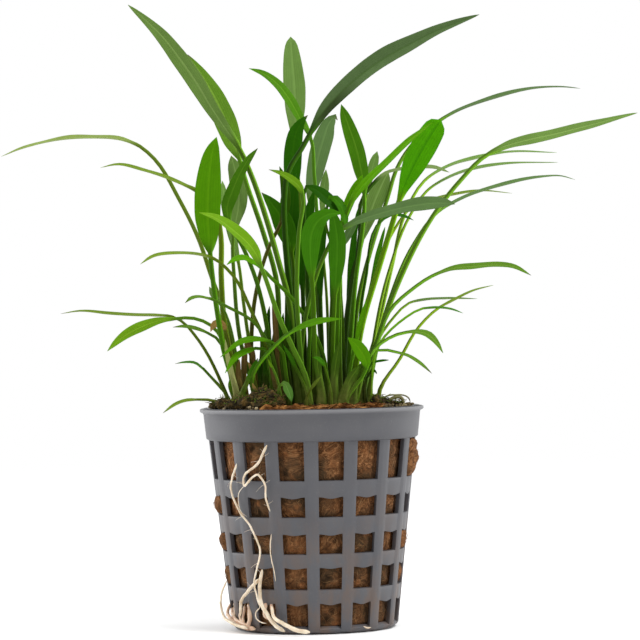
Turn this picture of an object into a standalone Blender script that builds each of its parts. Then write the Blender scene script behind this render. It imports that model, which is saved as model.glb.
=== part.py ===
"""A young cryptocoryne, a water plant, growing in its net pot. Metres, +Z up.

The pot stands on z = 0 with its axis on the z axis, and its front looks towards -Y. Leaves and roots
are drawn as they show from the front: see seen_from_front.
"""

import math

import bmesh
import bpy
import numpy as np
from mathutils import Matrix, Vector

MM = 0.001

# The net pot: a tapered wall of five rows of sixteen holes, below a plain band with a thin lip.
POT_HEIGHT = 51.0
LIP_RADIUS = 26.0
LIP_DEPTH = 0.8
BAND_TOP_RADIUS = 25.2
BAND_FOOT_RADIUS = 24.6
WALL_FOOT_RADIUS = 19.0
WALL_TAPER = 0.11
WALL_THICKNESS = 1.2
COLUMNS = 16
RIB_ANGLE = math.radians(8.1)
HOLE_ANGLE = math.tau / COLUMNS - RIB_ANGLE
FRONT_RIB = math.radians(-90.6)
HOLE_ROWS = ((34.8, 43.7), (26.5, 31.2), (18.1, 22.75), (10.0, 15.1), (1.0, 6.9))
BASE_RING_RADIUS = 14.5
BASE_HUB_RADIUS = 6.5

# The rockwool plug fills the pot with this gap, and bulges out of some holes.
GAP = 0.35
PLUG_FOOT = WALL_THICKNESS + GAP
PLUG_TOP = 50.2
BULGE_CLEARANCE = 0.45
BULGE_TAPER = 0.3
# Its outer edge stands up in a crust inside the lip, between these turns about the axis.
CRUST_INNER_RADIUS = 20.6
CRUST_HEIGHT = 2.2
CRUST_FROM = math.radians(-103)
CRUST_TO = math.radians(-44)
# Column counted round from the front rib, row counted from the top, and how far it stands out of the plug.
BULGES = ((3, 0, 3.7), (3, 2, 2.8), (3, 3, 2.3), (12, 1, 3.2), (12, 2, 3.0), (12, 3, 2.6), (8, 1, 2.4), (6, 0, 2.6))

# The eye from which the front view is drawn.
EYE_ACROSS = 2.3
EYE_HEIGHT = 71.2
EYE_DISTANCE = 750.0

FOOT_HEIGHT = PLUG_TOP + 0.35
STALK_STEP = 9.0
BLADE_STEP = 5.5

# Each leaf: stalk width, blade width, foot (across, behind the axis), how far behind the axis its tip is, where its
# upper face looks, the points that its stalk passes and those that its blade passes, all in mm as seen from the front.
LEAVES = {
    # The left-hand side, from the outermost leaf inwards.
    "leaf_lowest_left": (
        0.9, 2.0, (-18.0, -7.5), -14, (0, -0.5, 1),
        [(-20.4, 52.0), (-22.9, 52.9), (-26.5, 53.2)], [(-30.2, 52.7), (-34.4, 50.3)]),
    "leaf_low_left_dark": (
        0.9, 2.0, (-18.5, -3.5), -9, (0, -0.4, 1),
        [(-19.7, 54.2), (-22.8, 57.8), (-25.0, 60.3)], [(-26.8, 61.7), (-29.1, 61.9), (-31.4, 61.6)]),
    "leaf_small_left": (
        0.9, 2.0, (-17.5, 0.0), -4, (0, -0.7, 1),
        [(-20.0, 63.5), (-21.2, 66.8), (-24.0, 68.7)], [(-26.7, 69.7), (-29.4, 70.2), (-31.8, 70.1)]),
    "leaf_left_drooping": (
        1.0, 3.4, (-16.0, -5.0), -12, (0.1, -1.1, 1),
        [(-19.3, 62.0), (-20.5, 67.0), (-22.6, 70.0), (-27.6, 72.2), (-31.2, 72.1)],
        [(-35.8, 71.5), (-39.4, 70.2), (-43.1, 68.3), (-47.1, 65.0)]),
    "leaf_far_left_wavy": (
        1.0, 2.6, (-18.5, 5.0), 15, (0, -0.3, 1),
        [(-21.8, 59.1), (-24.0, 63.7), (-26.7, 67.9), (-29.9, 71.5), (-32.1, 72.6)],
        [(-40.3, 73.1), (-46.7, 73.5), (-53.9, 74.2), (-57.5, 73.7)]),
    "leaf_left_long_arch": (
        1.2, 4.0, (-15.5, 9.5), 24, (0, -0.35, 1),
        [(-20.6, 75.4), (-22.6, 81.2), (-25.6, 90.5), (-29.9, 99.7), (-36.1, 109.9), (-39.0, 112.4)],
        [(-42.0, 113.7), (-50.3, 114.6), (-60.2, 113.8), (-70.9, 110.6)]),
    "leaf_left_small_arch": (
        1.6, 3.0, (-16.5, 2.8), 10, (0, -0.35, 1),
        [(-18.3, 61.0), (-19.9, 70.0), (-20.5, 82.0), (-20.5, 92.0), (-22.0, 98.5), (-26.2, 102.0)],
        [(-29.4, 103.5), (-37.1, 106.4), (-44.7, 108.1), (-48.0, 107.6)]),
    "leaf_broad_left": (
        1.3, 5.9, (-15.6, -8.4), -20, (0, -1, 0.1),
        [(-20.2, 64.7), (-21.3, 71.6), (-22.6, 82.5), (-22.9, 88.5)],
        [(-23.3, 92.2), (-23.2, 101.8), (-22.6, 108.0), (-21.0, 114.0)]),
    "leaf_left_pointing_right": (
        1.2, 3.8, (-9.8, -4.3), -16, (0.5, -1, 0.3),
        [(-9.8, 67.5), (-10.6, 73.0), (-12.8, 82.0), (-15.6, 89.0), (-18.4, 94.2)],
        [(-18.4, 97.8), (-16.0, 104.1), (-11.6, 111.2)]),
    "leaf_grey_back_left": (
        1.1, 4.4, (-12.0, 5.5), 21, (0.2, -1, 0.1),
        [(-16.4, 67.3), (-17.5, 81.5), (-17.7, 91.2)], [(-16.3, 96.0), (-15.7, 100.2), (-17.7, 109.5)]),
    "leaf_pale_left": (
        1.0, 2.6, (-10.5, 12.0), 27, (0.3, -1, 0),
        [(-14.1, 65.5), (-15.4, 75.3), (-16.4, 84.7)], [(-18.0, 94.0), (-19.9, 104.0)]),
    "leaf_left_mid_arch": (
        1.1, 3.2, (-8.5, -6.0), -21, (0, -0.3, 1),
        [(-10.5, 66.0), (-13.6, 73.5), (-17.9, 82.1), (-22.8, 86.3)],
        [(-25.5, 87.0), (-30.9, 87.3), (-36.4, 86.5), (-39.1, 85.0)]),
    "leaf_left_short_arch": (
        1.0, 2.6, (-7.0, -9.5), -25, (0, -0.4, 1),
        [(-10.5, 67.3), (-13.1, 71.0), (-18.9, 74.5), (-23.0, 76.6)],
        [(-25.6, 77.1), (-27.4, 76.8), (-28.9, 75.8)]),
    "leaf_small_droop_left": (
        1.0, 2.2, (-9.5, -10.5), -20, (0, -1, 1),
        [(-9.5, 61.0), (-10.6, 64.6), (-12.6, 64.9)], [(-14.4, 64.4), (-16.8, 63.4), (-19.9, 59.3)]),
    "leaf_small_droop_right": (
        1.0, 2.2, (-5.0, -11.0), -20, (0, -1, 1),
        [(-6.0, 60.0), (-6.8, 64.5), (-9.7, 66.5)], [(-12.6, 67.0), (-15.2, 66.7), (-21.0, 63.0)]),
    "leaf_crossing": (
        1.1, 2.1, (-11.5, -11.2), -30, (0, -1, 0.6),
        [(-13.9, 57.3), (-9.1, 64.6), (-4.3, 68.6)], [(-1.7, 69.8), (1.3, 70.7), (7.2, 71.4)]),
    "leaf_front_left_arching": (
        1.3, 3.4, (-0.3, -14.0), -38, (0, -1.2, 1),
        [(-1.1, 57.4), (-4.4, 65.4), (-7.2, 71.9), (-10.3, 81.4), (-12.0, 85.5)],
        [(-12.7, 88.3), (-15.4, 91.8), (-19.0, 94.6), (-25.2, 96.6)]),
    "leaf_hooked_left": (
        1.1, 2.6, (3.5, -5.5), -19, (0, -0.9, 1),
        [(2.9, 62.9), (1.5, 66.8), (-1.6, 72.7), (-5.4, 77.8), (-8.8, 81.1), (-11.7, 84.0)],
        [(-13.5, 85.0), (-15.2, 85.9), (-17.2, 85.6), (-19.0, 84.5)]),
    "leaf_brown_stalk": (
        1.1, 2.4, (-13.2, 2.0), -7, (0.4, -1, 0),
        [(-13.8, 65.6), (-12.7, 76.7), (-9.0, 89.0), (-6.0, 95.0)], [(-5.2, 98.4), (-5.6, 102.8), (-6.5, 106.9)]),
    # The middle, with the two great leaves that rise to the left and the one to the right.
    "leaf_great_left": (
        1.5, 4.8, (-5.8, -3.6), -18, (-0.35, -1, 0.3),
        [(-4.7, 75.0), (-7.0, 84.6), (-9.7, 94.7), (-13.4, 106.0), (-15.8, 111.5)],
        [(-19.5, 117.0), (-22.0, 120.9), (-28.3, 131.4), (-33.1, 137.9), (-40.9, 145.2)]),
    "leaf_great_left_back": (
        1.4, 5.5, (-7.0, 7.5), 24, (-0.2, -1, 0.1),
        [(-7.3, 67.0), (-7.7, 80.8), (-10.6, 91.9), (-14.8, 105.1), (-16.0, 110.0)],
        [(-17.3, 115.0), (-20.0, 122.0), (-23.5, 128.0), (-27.2, 133.3)]),
    "leaf_great_right": (
        1.5, 4.9, (-2.6, -0.4), -24, (-0.3, -1, 0.5),
        [(-4.3, 75.0), (-5.0, 92.0), (-4.3, 106.3), (-1.0, 111.8), (1.8, 116.5)],
        [(6.9, 122.8), (14.4, 129.1), (24.3, 134.9), (34.3, 139.4), (40.2, 141.5)]),
    "leaf_dark_centre_left": (
        1.2, 4.2, (-3.0, 4.0), 8, (0, -1, 0),
        [(-3.5, 78.0), (-3.6, 100.0)], [(-3.4, 105.3), (-3.3, 110.3), (-2.5, 115.2), (0.3, 118.7)]),
    "leaf_tall_back": (
        1.2, 5.3, (1.0, 13.5), 42, (0, -1, 0),
        [(-1.0, 85.0), (-2.5, 113.0)], [(-2.6, 118.0), (-2.7, 123.6), (-3.0, 130.0), (-3.4, 136.5)]),
    "leaf_curved_top": (
        1.1, 3.4, (2.5, 6.5), 22, (0.2, -1, 0.6),
        [(2.4, 80.0), (1.5, 105.0), (0.7, 114.1)], [(-1.5, 118.1), (-6.3, 125.8), (-10.2, 128.9), (-13.0, 129.9)]),
    "leaf_grey_centre_right": (
        1.2, 4.7, (3.5, 10.5), 31, (0, -1, 0),
        [(1.5, 80.0), (0.6, 100.0)], [(1.1, 103.5), (3.1, 111.1), (6.3, 118.4), (7.0, 117.8)]),
    "leaf_centre_pointing_left": (
        1.2, 2.4, (-1.5, -11.0), -24, (0, -1, 0.8),
        [(-2.9, 81.6), (-2.2, 92.1), (-1.3, 100.6)], [(-1.7, 102.0), (-5.7, 105.1), (-8.8, 106.2)]),
    "leaf_front_centre": (
        1.2, 4.4, (0.8, -11.5), -30, (0.2, -1, 0.3),
        [(0.9, 66.0), (0.75, 84.7), (0.8, 88.2)], [(1.0, 92.1), (2.0, 94.7), (4.6, 96.1), (7.8, 95.5)]),
    "leaf_dark_centre_pointed": (
        1.2, 4.1, (-5.4, 1.4), -2, (0, -1, 0),
        [(-4.3, 70.0), (-3.7, 86.0), (-4.2, 90.0)], [(-6.8, 95.1), (-8.5, 98.5), (-10.6, 100.9)]),
    "leaf_dark_twisted": (
        1.1, 3.4, (0.3, 1.5), -12, (0, -1, 0.5),
        [(-0.4, 80.0), (-0.9, 97.0), (-0.3, 102.7)], [(1.8, 101.5), (4.1, 99.7), (7.3, 95.8)]),
    "leaf_dark_centre_right": (
        1.2, 4.1, (4.6, -9.0), -23, (0, -1, 0),
        [(5.2, 66.0), (6.0, 78.0)], [(6.5, 86.1), (6.6, 90.5), (5.0, 97.0)]),
    "leaf_grey_long_right": (
        1.2, 3.6, (-3.2, -7.6), -29, (0, -1, 1),
        [(-1.0, 72.0), (0.5, 78.0), (2.9, 84.7), (7.5, 92.0)],
        [(12.6, 94.1), (20.8, 96.9), (29.6, 98.2), (33.7, 97.5)]),
    "leaf_bright_stripe": (
        1.1, 2.6, (5.6, -2.8), -24, (0.2, -1, 0.8),
        [(7.0, 80.0), (8.4, 96.0), (10.3, 99.0)], [(12.0, 101.3), (18.0, 107.2), (24.0, 112.7), (29.0, 116.5)]),
    "leaf_right_of_centre": (
        1.2, 3.6, (8.0, -0.6), -8, (-0.3, -1, 0),
        [(10.5, 78.0), (13.1, 103.3)], [(12.3, 107.4), (11.2, 111.6), (8.2, 121.0)]),
    # The right-hand side, from the middle outwards.
    "leaf_grey_right_blade": (
        1.1, 3.2, (6.4, 8.4), 18, (0.2, -1, 0.3),
        [(9.0, 72.0), (13.5, 93.0)], [(14.9, 97.7), (16.7, 100.9), (18.7, 104.4)]),
    "leaf_dark_arch": (
        1.2, 3.4, (7.2, 3.6), 12, (0, -0.6, 1),
        [(8.5, 70.0), (10.0, 80.8), (11.9, 90.4), (12.3, 98.3), (15.6, 103.1)],
        [(18.0, 105.0), (25.3, 106.1), (29.8, 106.1), (32.7, 105.2)]),
    "leaf_broad_right": (
        1.7, 5.6, (9.4, -4.6), -17, (0, -1, 0.1),
        [(11.9, 69.3), (16.1, 82.8), (19.8, 94.2), (21.0, 99.3)],
        [(22.4, 102.9), (24.2, 106.4), (28.4, 113.6), (31.0, 116.7)]),
    "leaf_long_grey_arch": (
        1.2, 3.6, (9.2, 7.2), 30, (0, -0.25, 1),
        [(11.7, 77.5), (14.7, 88.2), (18.9, 100.5), (20.5, 105.5), (25.5, 112.8), (30.9, 117.1)],
        [(33.9, 118.8), (43.9, 122.2), (53.8, 124.3), (63.4, 124.0)]),
    "leaf_right_long_blade": (
        1.3, 3.2, (11.6, -3.0), -14, (0, -1.2, 1),
        [(15.8, 66.7), (21.0, 80.2), (29.9, 96.2), (35.1, 102.6), (42.1, 109.1)],
        [(45.1, 110.4), (56.0, 113.0), (63.5, 114.7), (76.6, 118.0)]),
    "leaf_thin_right_upper": (
        1.0, 3.0, (9.6, 11.2), 28, (0, -0.3, 1),
        [(15.8, 69.5), (19.3, 83.5), (22.7, 96.0), (27.2, 103.2)],
        [(33.7, 106.9), (38.7, 108.1), (45.6, 109.4), (57.9, 109.2)]),
    "leaf_thin_right_lower": (
        1.0, 2.6, (12.0, 8.4), 17, (0, -0.3, 1),
        [(18.5, 82.1), (23.2, 94.3), (27.7, 100.8)], [(34.7, 104.7), (46.1, 106.8), (58.1, 106.9)]),
    "leaf_grey_right": (
        1.0, 2.8, (12.6, 0.4), 2, (0, -0.35, 1),
        [(18.0, 74.0), (24.4, 88.5), (30.1, 95.8)], [(36.1, 99.1), (46.0, 102.0), (58.4, 103.7), (62.0, 102.9)]),
    "leaf_thin_pale": (
        0.9, 2.2, (7.6, 14.2), 34, (0, -0.3, 1),
        [(15.0, 80.0), (20.0, 92.0), (24.0, 97.0)], [(33.6, 99.8), (43.5, 100.6), (47.3, 99.9)]),
    "leaf_right_arch": (
        1.1, 3.0, (11.0, -8.0), -30, (0, -0.7, 1),
        [(15.8, 66.7), (18.8, 73.4), (23.9, 78.0), (29.6, 81.5)],
        [(35.7, 82.8), (41.1, 82.9), (46.5, 83.0), (51.3, 80.8)]),
    "leaf_thin_low_upper": (
        0.9, 1.9, (13.6, 5.2), 10, (0, -0.35, 1),
        [(15.4, 65.6), (19.1, 71.1), (23.1, 74.8)], [(30.2, 75.7), (38.8, 75.6)]),
    "leaf_thin_low": (
        0.9, 1.8, (13.2, -11.2), -27, (0, -0.3, 1),
        [(16.9, 66.7), (21.2, 70.7), (26.3, 73.5)], [(29.5, 73.7), (35.4, 72.3)]),
    "leaf_separate_right": (
        0.9, 1.9, (15.4, -2.6), -7, (0, -0.4, 1),
        [(15.7, 53.9), (20.7, 61.8), (25.1, 69.0), (30.2, 73.7)], [(33.8, 75.5), (40.7, 78.5), (42.6, 78.6)]),
    "leaf_right_drooping": (
        1.0, 2.2, (9.6, -12.6), -32, (0, -1, 1),
        [(15.8, 65.1), (20.1, 67.5), (23.0, 68.0)], [(25.8, 67.8), (27.9, 67.0), (30.6, 63.2)]),
    "leaf_right_lowest": (
        1.0, 2.0, (13.4, -5.4), -12, (0, -0.5, 1),
        [(14.0, 60.0), (15.4, 63.8), (20.0, 63.4)], [(22.9, 62.3), (25.7, 60.5), (27.9, 58.5)]),
    "leaf_oval_front_right": (
        1.0, 2.6, (6.6, -15.0), -21, (0, -1, 0),
        [(9.5, 56.8), (12.8, 60.9)], [(11.8, 63.5), (8.8, 66.5)]),
}

# Each root: its thickness, and points as seen from the front with how far out of the wall's face it runs there.
ROOTS = {
    "root_looped": (0.75, [
        (-10.6, 42.3, 0.8), (-12.7, 38.1, 0.8), (-16.1, 34.6, 0.8), (-16.0, 33.0, 0.8), (-14.7, 34.2, 1.2),
        (-12.6, 35.4, 1.8), (-11.3, 33.4, 1.2), (-10.9, 29.2, 0.8), (-10.1, 26.9, 0.8)]),
    "root_long": (0.5, [
        (-17.7, 38.1, 0.7), (-19.1, 32.5, 0.8), (-17.6, 27.8, 0.8), (-14.3, 22.6, 0.8), (-12.6, 17.3, 0.8),
        (-13.4, 13.6, 2.3), (-14.1, 10.1, 2.4), (-13.4, 6.8, 2.4), (-12.9, 4.6, 2.2)]),
    "root_floor_left": (0.85, [
        (-12.2, 13.4, 0.8), (-12.8, 9.0, 0.8), (-12.5, 5.4, 0.8), (-11.4, 3.3, 0.9), (-9.3, 0.3, 1.6),
        (-7.2, -1.1, 2.6)]),
    "root_branch": (0.8, [
        (-14.6, 9.8, 0.8), (-16.0, 7.8, 0.8), (-17.2, 6.0, 0.8), (-17.4, 2.7, 0.9)]),
    "root_outer_curl": (0.75, [
        (-20.4, 11.0, 1.2), (-21.6, 8.4, 2.4), (-21.5, 3.1, 2.4), (-18.7, 0.7, 1.8), (-15.8, -0.2, 1.6)]),
    "root_floor_right": (0.95, [
        (-10.1, 4.8, 0.9), (-9.8, 2.6, 1.6), (-7.3, 0.6, 3.0), (-4.0, -1.0, 4.1), (-1.3, -1.4, 4.6)]),
}
ROOT_STEP = 1.8
FLOOR_CLEARANCE = 0.1

# The mossy debris heaped inside the lip, round the left front: turn about the axis in degrees, and thickness there.
MOUND_RADIUS = 20.0
MOUND = ((212, 1.3), (221, 3.4), (232, 4.4), (244, 3.6), (256, 1.6))

# The old root stub that arches over the top at the right: across, behind the axis, height.
STUB = ((17.2, -10.5, 51.0), (18.6, -11.2, 53.0), (20.4, -11.3, 53.2), (21.4, -10.8, 51.4))
STUB_THICKNESS = 0.9


def seen_from_front(across, up, behind):
    """The point that far behind the pot's axis that shows at (across, up) on the upright plane through it."""
    grown = 1 + behind / EYE_DISTANCE
    return Vector((EYE_ACROSS + (across - EYE_ACROSS) * grown, behind, EYE_HEIGHT + (up - EYE_HEIGHT) * grown))


def height_as_seen(height, behind):
    """How high a point at this real height shows from the front."""
    return EYE_HEIGHT + (height - EYE_HEIGHT) / (1 + behind / EYE_DISTANCE)


def wall_radius(height):
    return WALL_FOOT_RADIUS + WALL_TAPER * height


def smooth_line(points, step):
    """Points about `step` apart on a smooth curve through the given ones."""
    points = np.array(points, float)
    knots = np.concatenate([[0], np.cumsum(np.linalg.norm(np.diff(points, axis=0), axis=1))])
    slopes = np.gradient(points, knots, axis=0)
    fine = np.linspace(0, knots[-1], 400)
    piece = np.clip(np.searchsorted(knots, fine, side="right") - 1, 0, len(knots) - 2)
    span = (knots[piece + 1] - knots[piece])[:, None]
    t = (fine - knots[piece])[:, None] / span
    curve = (
        (1 + 2 * t) * (1 - t) ** 2 * points[piece]
        + t * (1 - t) ** 2 * span * slopes[piece]
        + t * t * (3 - 2 * t) * points[piece + 1]
        + t * t * (t - 1) * span * slopes[piece + 1]
    )
    run = np.concatenate([[0], np.cumsum(np.linalg.norm(np.diff(curve, axis=0), axis=1))])
    even = np.linspace(0, run[-1], max(3, round(run[-1] / step) + 1))
    return np.stack([np.interp(even, run, curve[:, axis]) for axis in range(curve.shape[1])], axis=1)


def make_material(name, colour, roughness):
    material = bpy.data.materials.new(name)
    material.use_nodes = True
    shader = material.node_tree.nodes["Principled BSDF"]
    shader.inputs["Base Color"].default_value = (*colour, 1)
    shader.inputs["Roughness"].default_value = roughness
    shader.inputs["Metallic"].default_value = 0
    return material


def add_object(name, form, material):
    form.materials.append(material)
    thing = bpy.data.objects.new(name, form)
    plant.objects.link(thing)
    return thing


def add_mesh_object(name, bm, material):
    """Adds a shape that was drawn in mm, at its real size."""
    mesh = bpy.data.meshes.new(name)
    bmesh.ops.scale(bm, verts=bm.verts, vec=(MM, MM, MM))
    bm.to_mesh(mesh)
    bm.free()
    mesh.shade_smooth()
    mesh.set_sharp_from_angle(angle=math.radians(40))
    return add_object(name, mesh, material)


def add_tube(name, line, thicknesses, resolution, material):
    """Adds a round tube along points in mm, as thick as given at each."""
    curve = bpy.data.curves.new(name, "CURVE")
    curve.dimensions = "3D"
    curve.bevel_depth = MM / 2
    curve.bevel_resolution = resolution
    curve.use_fill_caps = True
    spline = curve.splines.new("POLY")
    spline.points.add(len(line) - 1)
    for point, place, thickness in zip(spline.points, line, thicknesses):
        point.co = (*(Vector(place) * MM), 1)
        point.radius = thickness
    add_object(name, curve, material)


def spin_profile(profile):
    """Turns (radius, height) points about the axis in alternate rib and hole steps, from the front rib on."""
    bm = bmesh.new()
    corners = [bm.verts.new((radius, 0, height)) for radius, height in profile]
    line = corners + [bm.edges.new(pair) for pair in zip(corners, corners[1:])]
    start = FRONT_RIB - RIB_ANGLE / 2
    bmesh.ops.rotate(bm, verts=corners, cent=(0, 0, 0), matrix=Matrix.Rotation(start, 3, "Z"))
    for angle in (RIB_ANGLE, HOLE_ANGLE) * COLUMNS:
        turned = bmesh.ops.spin(bm, geom=line, axis=(0, 0, 1), cent=(0, 0, 0), angle=angle, steps=1)
        line = turned["geom_last"]
    bmesh.ops.remove_doubles(bm, verts=bm.verts, dist=0.01)
    bmesh.ops.recalc_face_normals(bm, faces=bm.faces)
    return bm


def step_of(face):
    """Which rib or hole step round the pot a face is in: even numbers are ribs, odd ones holes."""
    middle = face.calc_center_median()
    turn = (math.atan2(middle.y, middle.x) - FRONT_RIB + RIB_ANGLE / 2) % math.tau
    column = int(turn // (RIB_ANGLE + HOLE_ANGLE))
    in_hole = turn - column * (RIB_ANGLE + HOLE_ANGLE) > RIB_ANGLE
    return 2 * column + in_hole


def make_pot():
    profile = [
        (LIP_RADIUS, POT_HEIGHT),
        (LIP_RADIUS, POT_HEIGHT - LIP_DEPTH),
        (BAND_TOP_RADIUS, POT_HEIGHT - 1.4 * LIP_DEPTH),
        (BAND_FOOT_RADIUS, HOLE_ROWS[0][1] + 0.3),
    ]
    for low, high in HOLE_ROWS:
        profile += [(wall_radius(high), high), (wall_radius(low), low)]
    profile += [(WALL_FOOT_RADIUS - 0.5, 0.25), (WALL_FOOT_RADIUS - 1.1, 0)]
    profile += [(BASE_RING_RADIUS, 0), (BASE_HUB_RADIUS, 0), (0, 0)]
    bm = spin_profile(profile)

    def is_open(face):
        middle = face.calc_center_median()
        radius = math.hypot(middle.x, middle.y)
        step = step_of(face)
        if BASE_HUB_RADIUS < radius < BASE_RING_RADIUS and middle.z < 0.1:
            return step % 4 != 0
        return step % 2 == 1 and any(low < middle.z < high for low, high in HOLE_ROWS) and radius > BASE_RING_RADIUS

    bmesh.ops.delete(bm, geom=[face for face in bm.faces if is_open(face)], context="FACES")
    pot = add_mesh_object("net_pot", bm, make_material("moulded_plastic", (0.16, 0.17, 0.2), 0.5))
    wall = pot.modifiers.new("Wall", "SOLIDIFY")
    wall.thickness = WALL_THICKNESS * MM
    wall.offset = -1
    wall.use_even_offset = True


def make_plug():
    """The rockwool: it takes the pot's inner shape, so its faces lie behind the pot's holes and ribs."""
    shrink = WALL_THICKNESS + GAP
    levels = [PLUG_TOP, *(edge for low, high in HOLE_ROWS for edge in (high, low) if edge > PLUG_FOOT), PLUG_FOOT]
    profile = [(0, PLUG_TOP), (CRUST_INNER_RADIUS, PLUG_TOP)]
    profile += [(wall_radius(level) - shrink, level) for level in levels] + [(0, PLUG_FOOT)]
    bm = spin_profile(profile)
    for vert in bm.verts:
        is_edge = vert.co.z > PLUG_TOP - 0.01 and math.hypot(vert.co.x, vert.co.y) > CRUST_INNER_RADIUS + 0.5
        if is_edge and CRUST_FROM < math.atan2(vert.co.y, vert.co.x) < CRUST_TO:
            vert.co.z += CRUST_HEIGHT
    for column, row, out in BULGES:
        low, high = HOLE_ROWS[row]
        for face in list(bm.faces):
            middle = face.calc_center_median()
            if step_of(face) == 2 * column + 1 and low < middle.z < high and face.normal.z < 0.5:
                for inset in (BULGE_CLEARANCE, BULGE_TAPER):
                    bmesh.ops.inset_individual(bm, faces=[face], thickness=inset, use_even_offset=True)
                outwards = Vector((face.normal.x, face.normal.y, 0)).normalized()
                bmesh.ops.translate(bm, verts=face.verts, vec=outwards * out)
    add_mesh_object("rockwool_plug", bm, make_material("rockwool", (0.19, 0.1, 0.04), 0.95))


def make_mound():
    line = []
    for turn, thickness in MOUND:
        angle = math.radians(turn)
        height = FOOT_HEIGHT + thickness / 2
        line.append((MOUND_RADIUS * math.cos(angle), MOUND_RADIUS * math.sin(angle), height))
    thicknesses = [thickness for turn, thickness in MOUND]
    add_tube("moss_mound", line, thicknesses, 2, make_material("moss", (0.05, 0.05, 0.015), 0.95))


def leaf_ring(centre, along, face, wide, thick, fold):
    """Four corners of a leaf's section: left edge, upper ridge, right edge, lower ridge."""
    across = along.cross(face).normalized()
    upper = across.cross(along)
    edge = across * wide / 2
    lift = upper * fold * wide / 2
    return [centre - edge + lift, centre + upper * thick / 2, centre + edge + lift, centre - upper * thick / 2]


def make_leaf(name, stalk_wide, blade_wide, foot, tip_behind, face, stalk, blade):
    """A loft from the round stalk to the flat, keeled blade."""
    foot_seen = (foot[0], height_as_seen(FOOT_HEIGHT, foot[1]))
    stalk_line = smooth_line([foot_seen, *stalk, *blade], 0.5)
    blade_start = np.array(stalk[-1], float)
    run = np.concatenate([[0], np.cumsum(np.linalg.norm(np.diff(stalk_line, axis=0), axis=1))])
    start = run[np.argmin(np.linalg.norm(stalk_line - blade_start, axis=1))]
    stalk_stations = np.linspace(0, start, max(4, round(start / STALK_STEP) + 1))
    blade_stations = np.linspace(start, run[-1], max(6, round((run[-1] - start) / BLADE_STEP) + 1))
    stations = np.concatenate([stalk_stations, blade_stations[1:]])
    centres = []
    for at in stations:
        share = at / run[-1]
        behind = foot[1] + (tip_behind - foot[1]) * share ** 1.6
        across = np.interp(at, run, stalk_line[:, 0])
        up = np.interp(at, run, stalk_line[:, 1])
        centres.append(seen_from_front(across, up, behind))
    rings = []
    for index, (at, centre) in enumerate(zip(stations, centres)):
        along = (centres[min(index + 1, len(centres) - 1)] - centres[max(index - 1, 0)]).normalized()
        if index == 0:
            along = Vector((0, 0, 1))
        swell = 1 + 0.5 * max(0, 1 - at / 8)
        in_blade = max(0, (at - start) / (run[-1] - start))
        fullness = math.sin(math.pi * in_blade ** 0.8) ** 0.8 if 0 < in_blade < 1 else 0
        wide = max(stalk_wide * swell * (1 - in_blade), blade_wide * fullness, 0.35)
        thick = max(stalk_wide * 0.9 * swell * (1 - in_blade) ** 1.5, 0.35)
        rings.append(leaf_ring(centre, along, Vector(face), wide, thick, 0.22 * min(1, 4 * in_blade)))
    bm = bmesh.new()
    corners = [[bm.verts.new(corner) for corner in ring] for ring in rings]
    bm.faces.new(corners[0])
    bm.faces.new(corners[-1])
    for lower, upper in zip(corners, corners[1:]):
        for side in range(4):
            after = (side + 1) % 4
            bm.faces.new((lower[side], lower[after], upper[after], upper[side]))
    bmesh.ops.recalc_face_normals(bm, faces=bm.faces)
    add_mesh_object(name, bm, leaf_green)


def on_wall(across, up, out, thickness):
    """The point that shows at (across, up) on a root lying this far out of the pot's wall, above the floor."""
    point = seen_from_front(across, up, -WALL_FOOT_RADIUS)
    for _ in range(6):
        reach = wall_radius(max(point.z, 0)) + out + thickness / 2
        point = seen_from_front(across, up, -math.sqrt(max(reach**2 - point.x**2, 1)))
    point.z = max(point.z, thickness / 2 + FLOOR_CLEARANCE)
    return point


def make_root(name, route, thickness):
    line = smooth_line(route, ROOT_STEP)
    add_tube(name, line, [thickness] * len(line), 1, root_cream)


for old in list(bpy.data.objects):
    bpy.data.objects.remove(old)
plant = bpy.data.collections.new("potted_cryptocoryne")
bpy.context.scene.collection.children.link(plant)
leaf_green = make_material("leaf_green", (0.09, 0.26, 0.03), 0.45)
root_cream = make_material("root_cream", (0.75, 0.64, 0.48), 0.6)

make_pot()
make_plug()
make_mound()
for leaf_name, leaf_form in LEAVES.items():
    make_leaf(leaf_name, *leaf_form)
for root_name, (root_thickness, root_points) in ROOTS.items():
    make_root(root_name, [on_wall(*point, root_thickness) for point in root_points], root_thickness)
make_root("root_stub", STUB, STUB_THICKNESS)
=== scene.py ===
"""A young cryptocoryne in its net pot: leaves, roots, rockwool, moss and the moulded pot, dressed over the frame."""

import math
import random

import bmesh
import bpy
import numpy as np
from mathutils import Matrix, Vector, noise


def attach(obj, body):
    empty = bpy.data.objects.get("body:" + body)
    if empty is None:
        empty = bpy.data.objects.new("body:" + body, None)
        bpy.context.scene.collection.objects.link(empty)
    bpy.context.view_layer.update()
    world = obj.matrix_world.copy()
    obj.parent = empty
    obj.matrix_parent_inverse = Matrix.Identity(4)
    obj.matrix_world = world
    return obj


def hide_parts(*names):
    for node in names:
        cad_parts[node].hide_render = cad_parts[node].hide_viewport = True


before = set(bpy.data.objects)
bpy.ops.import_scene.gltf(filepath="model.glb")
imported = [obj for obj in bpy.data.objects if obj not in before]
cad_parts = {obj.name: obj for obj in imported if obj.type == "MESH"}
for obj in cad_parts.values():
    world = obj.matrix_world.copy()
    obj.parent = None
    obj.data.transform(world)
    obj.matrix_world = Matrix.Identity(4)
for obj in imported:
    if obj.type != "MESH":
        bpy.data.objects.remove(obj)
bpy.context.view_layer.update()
MM = 0.001

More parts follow.
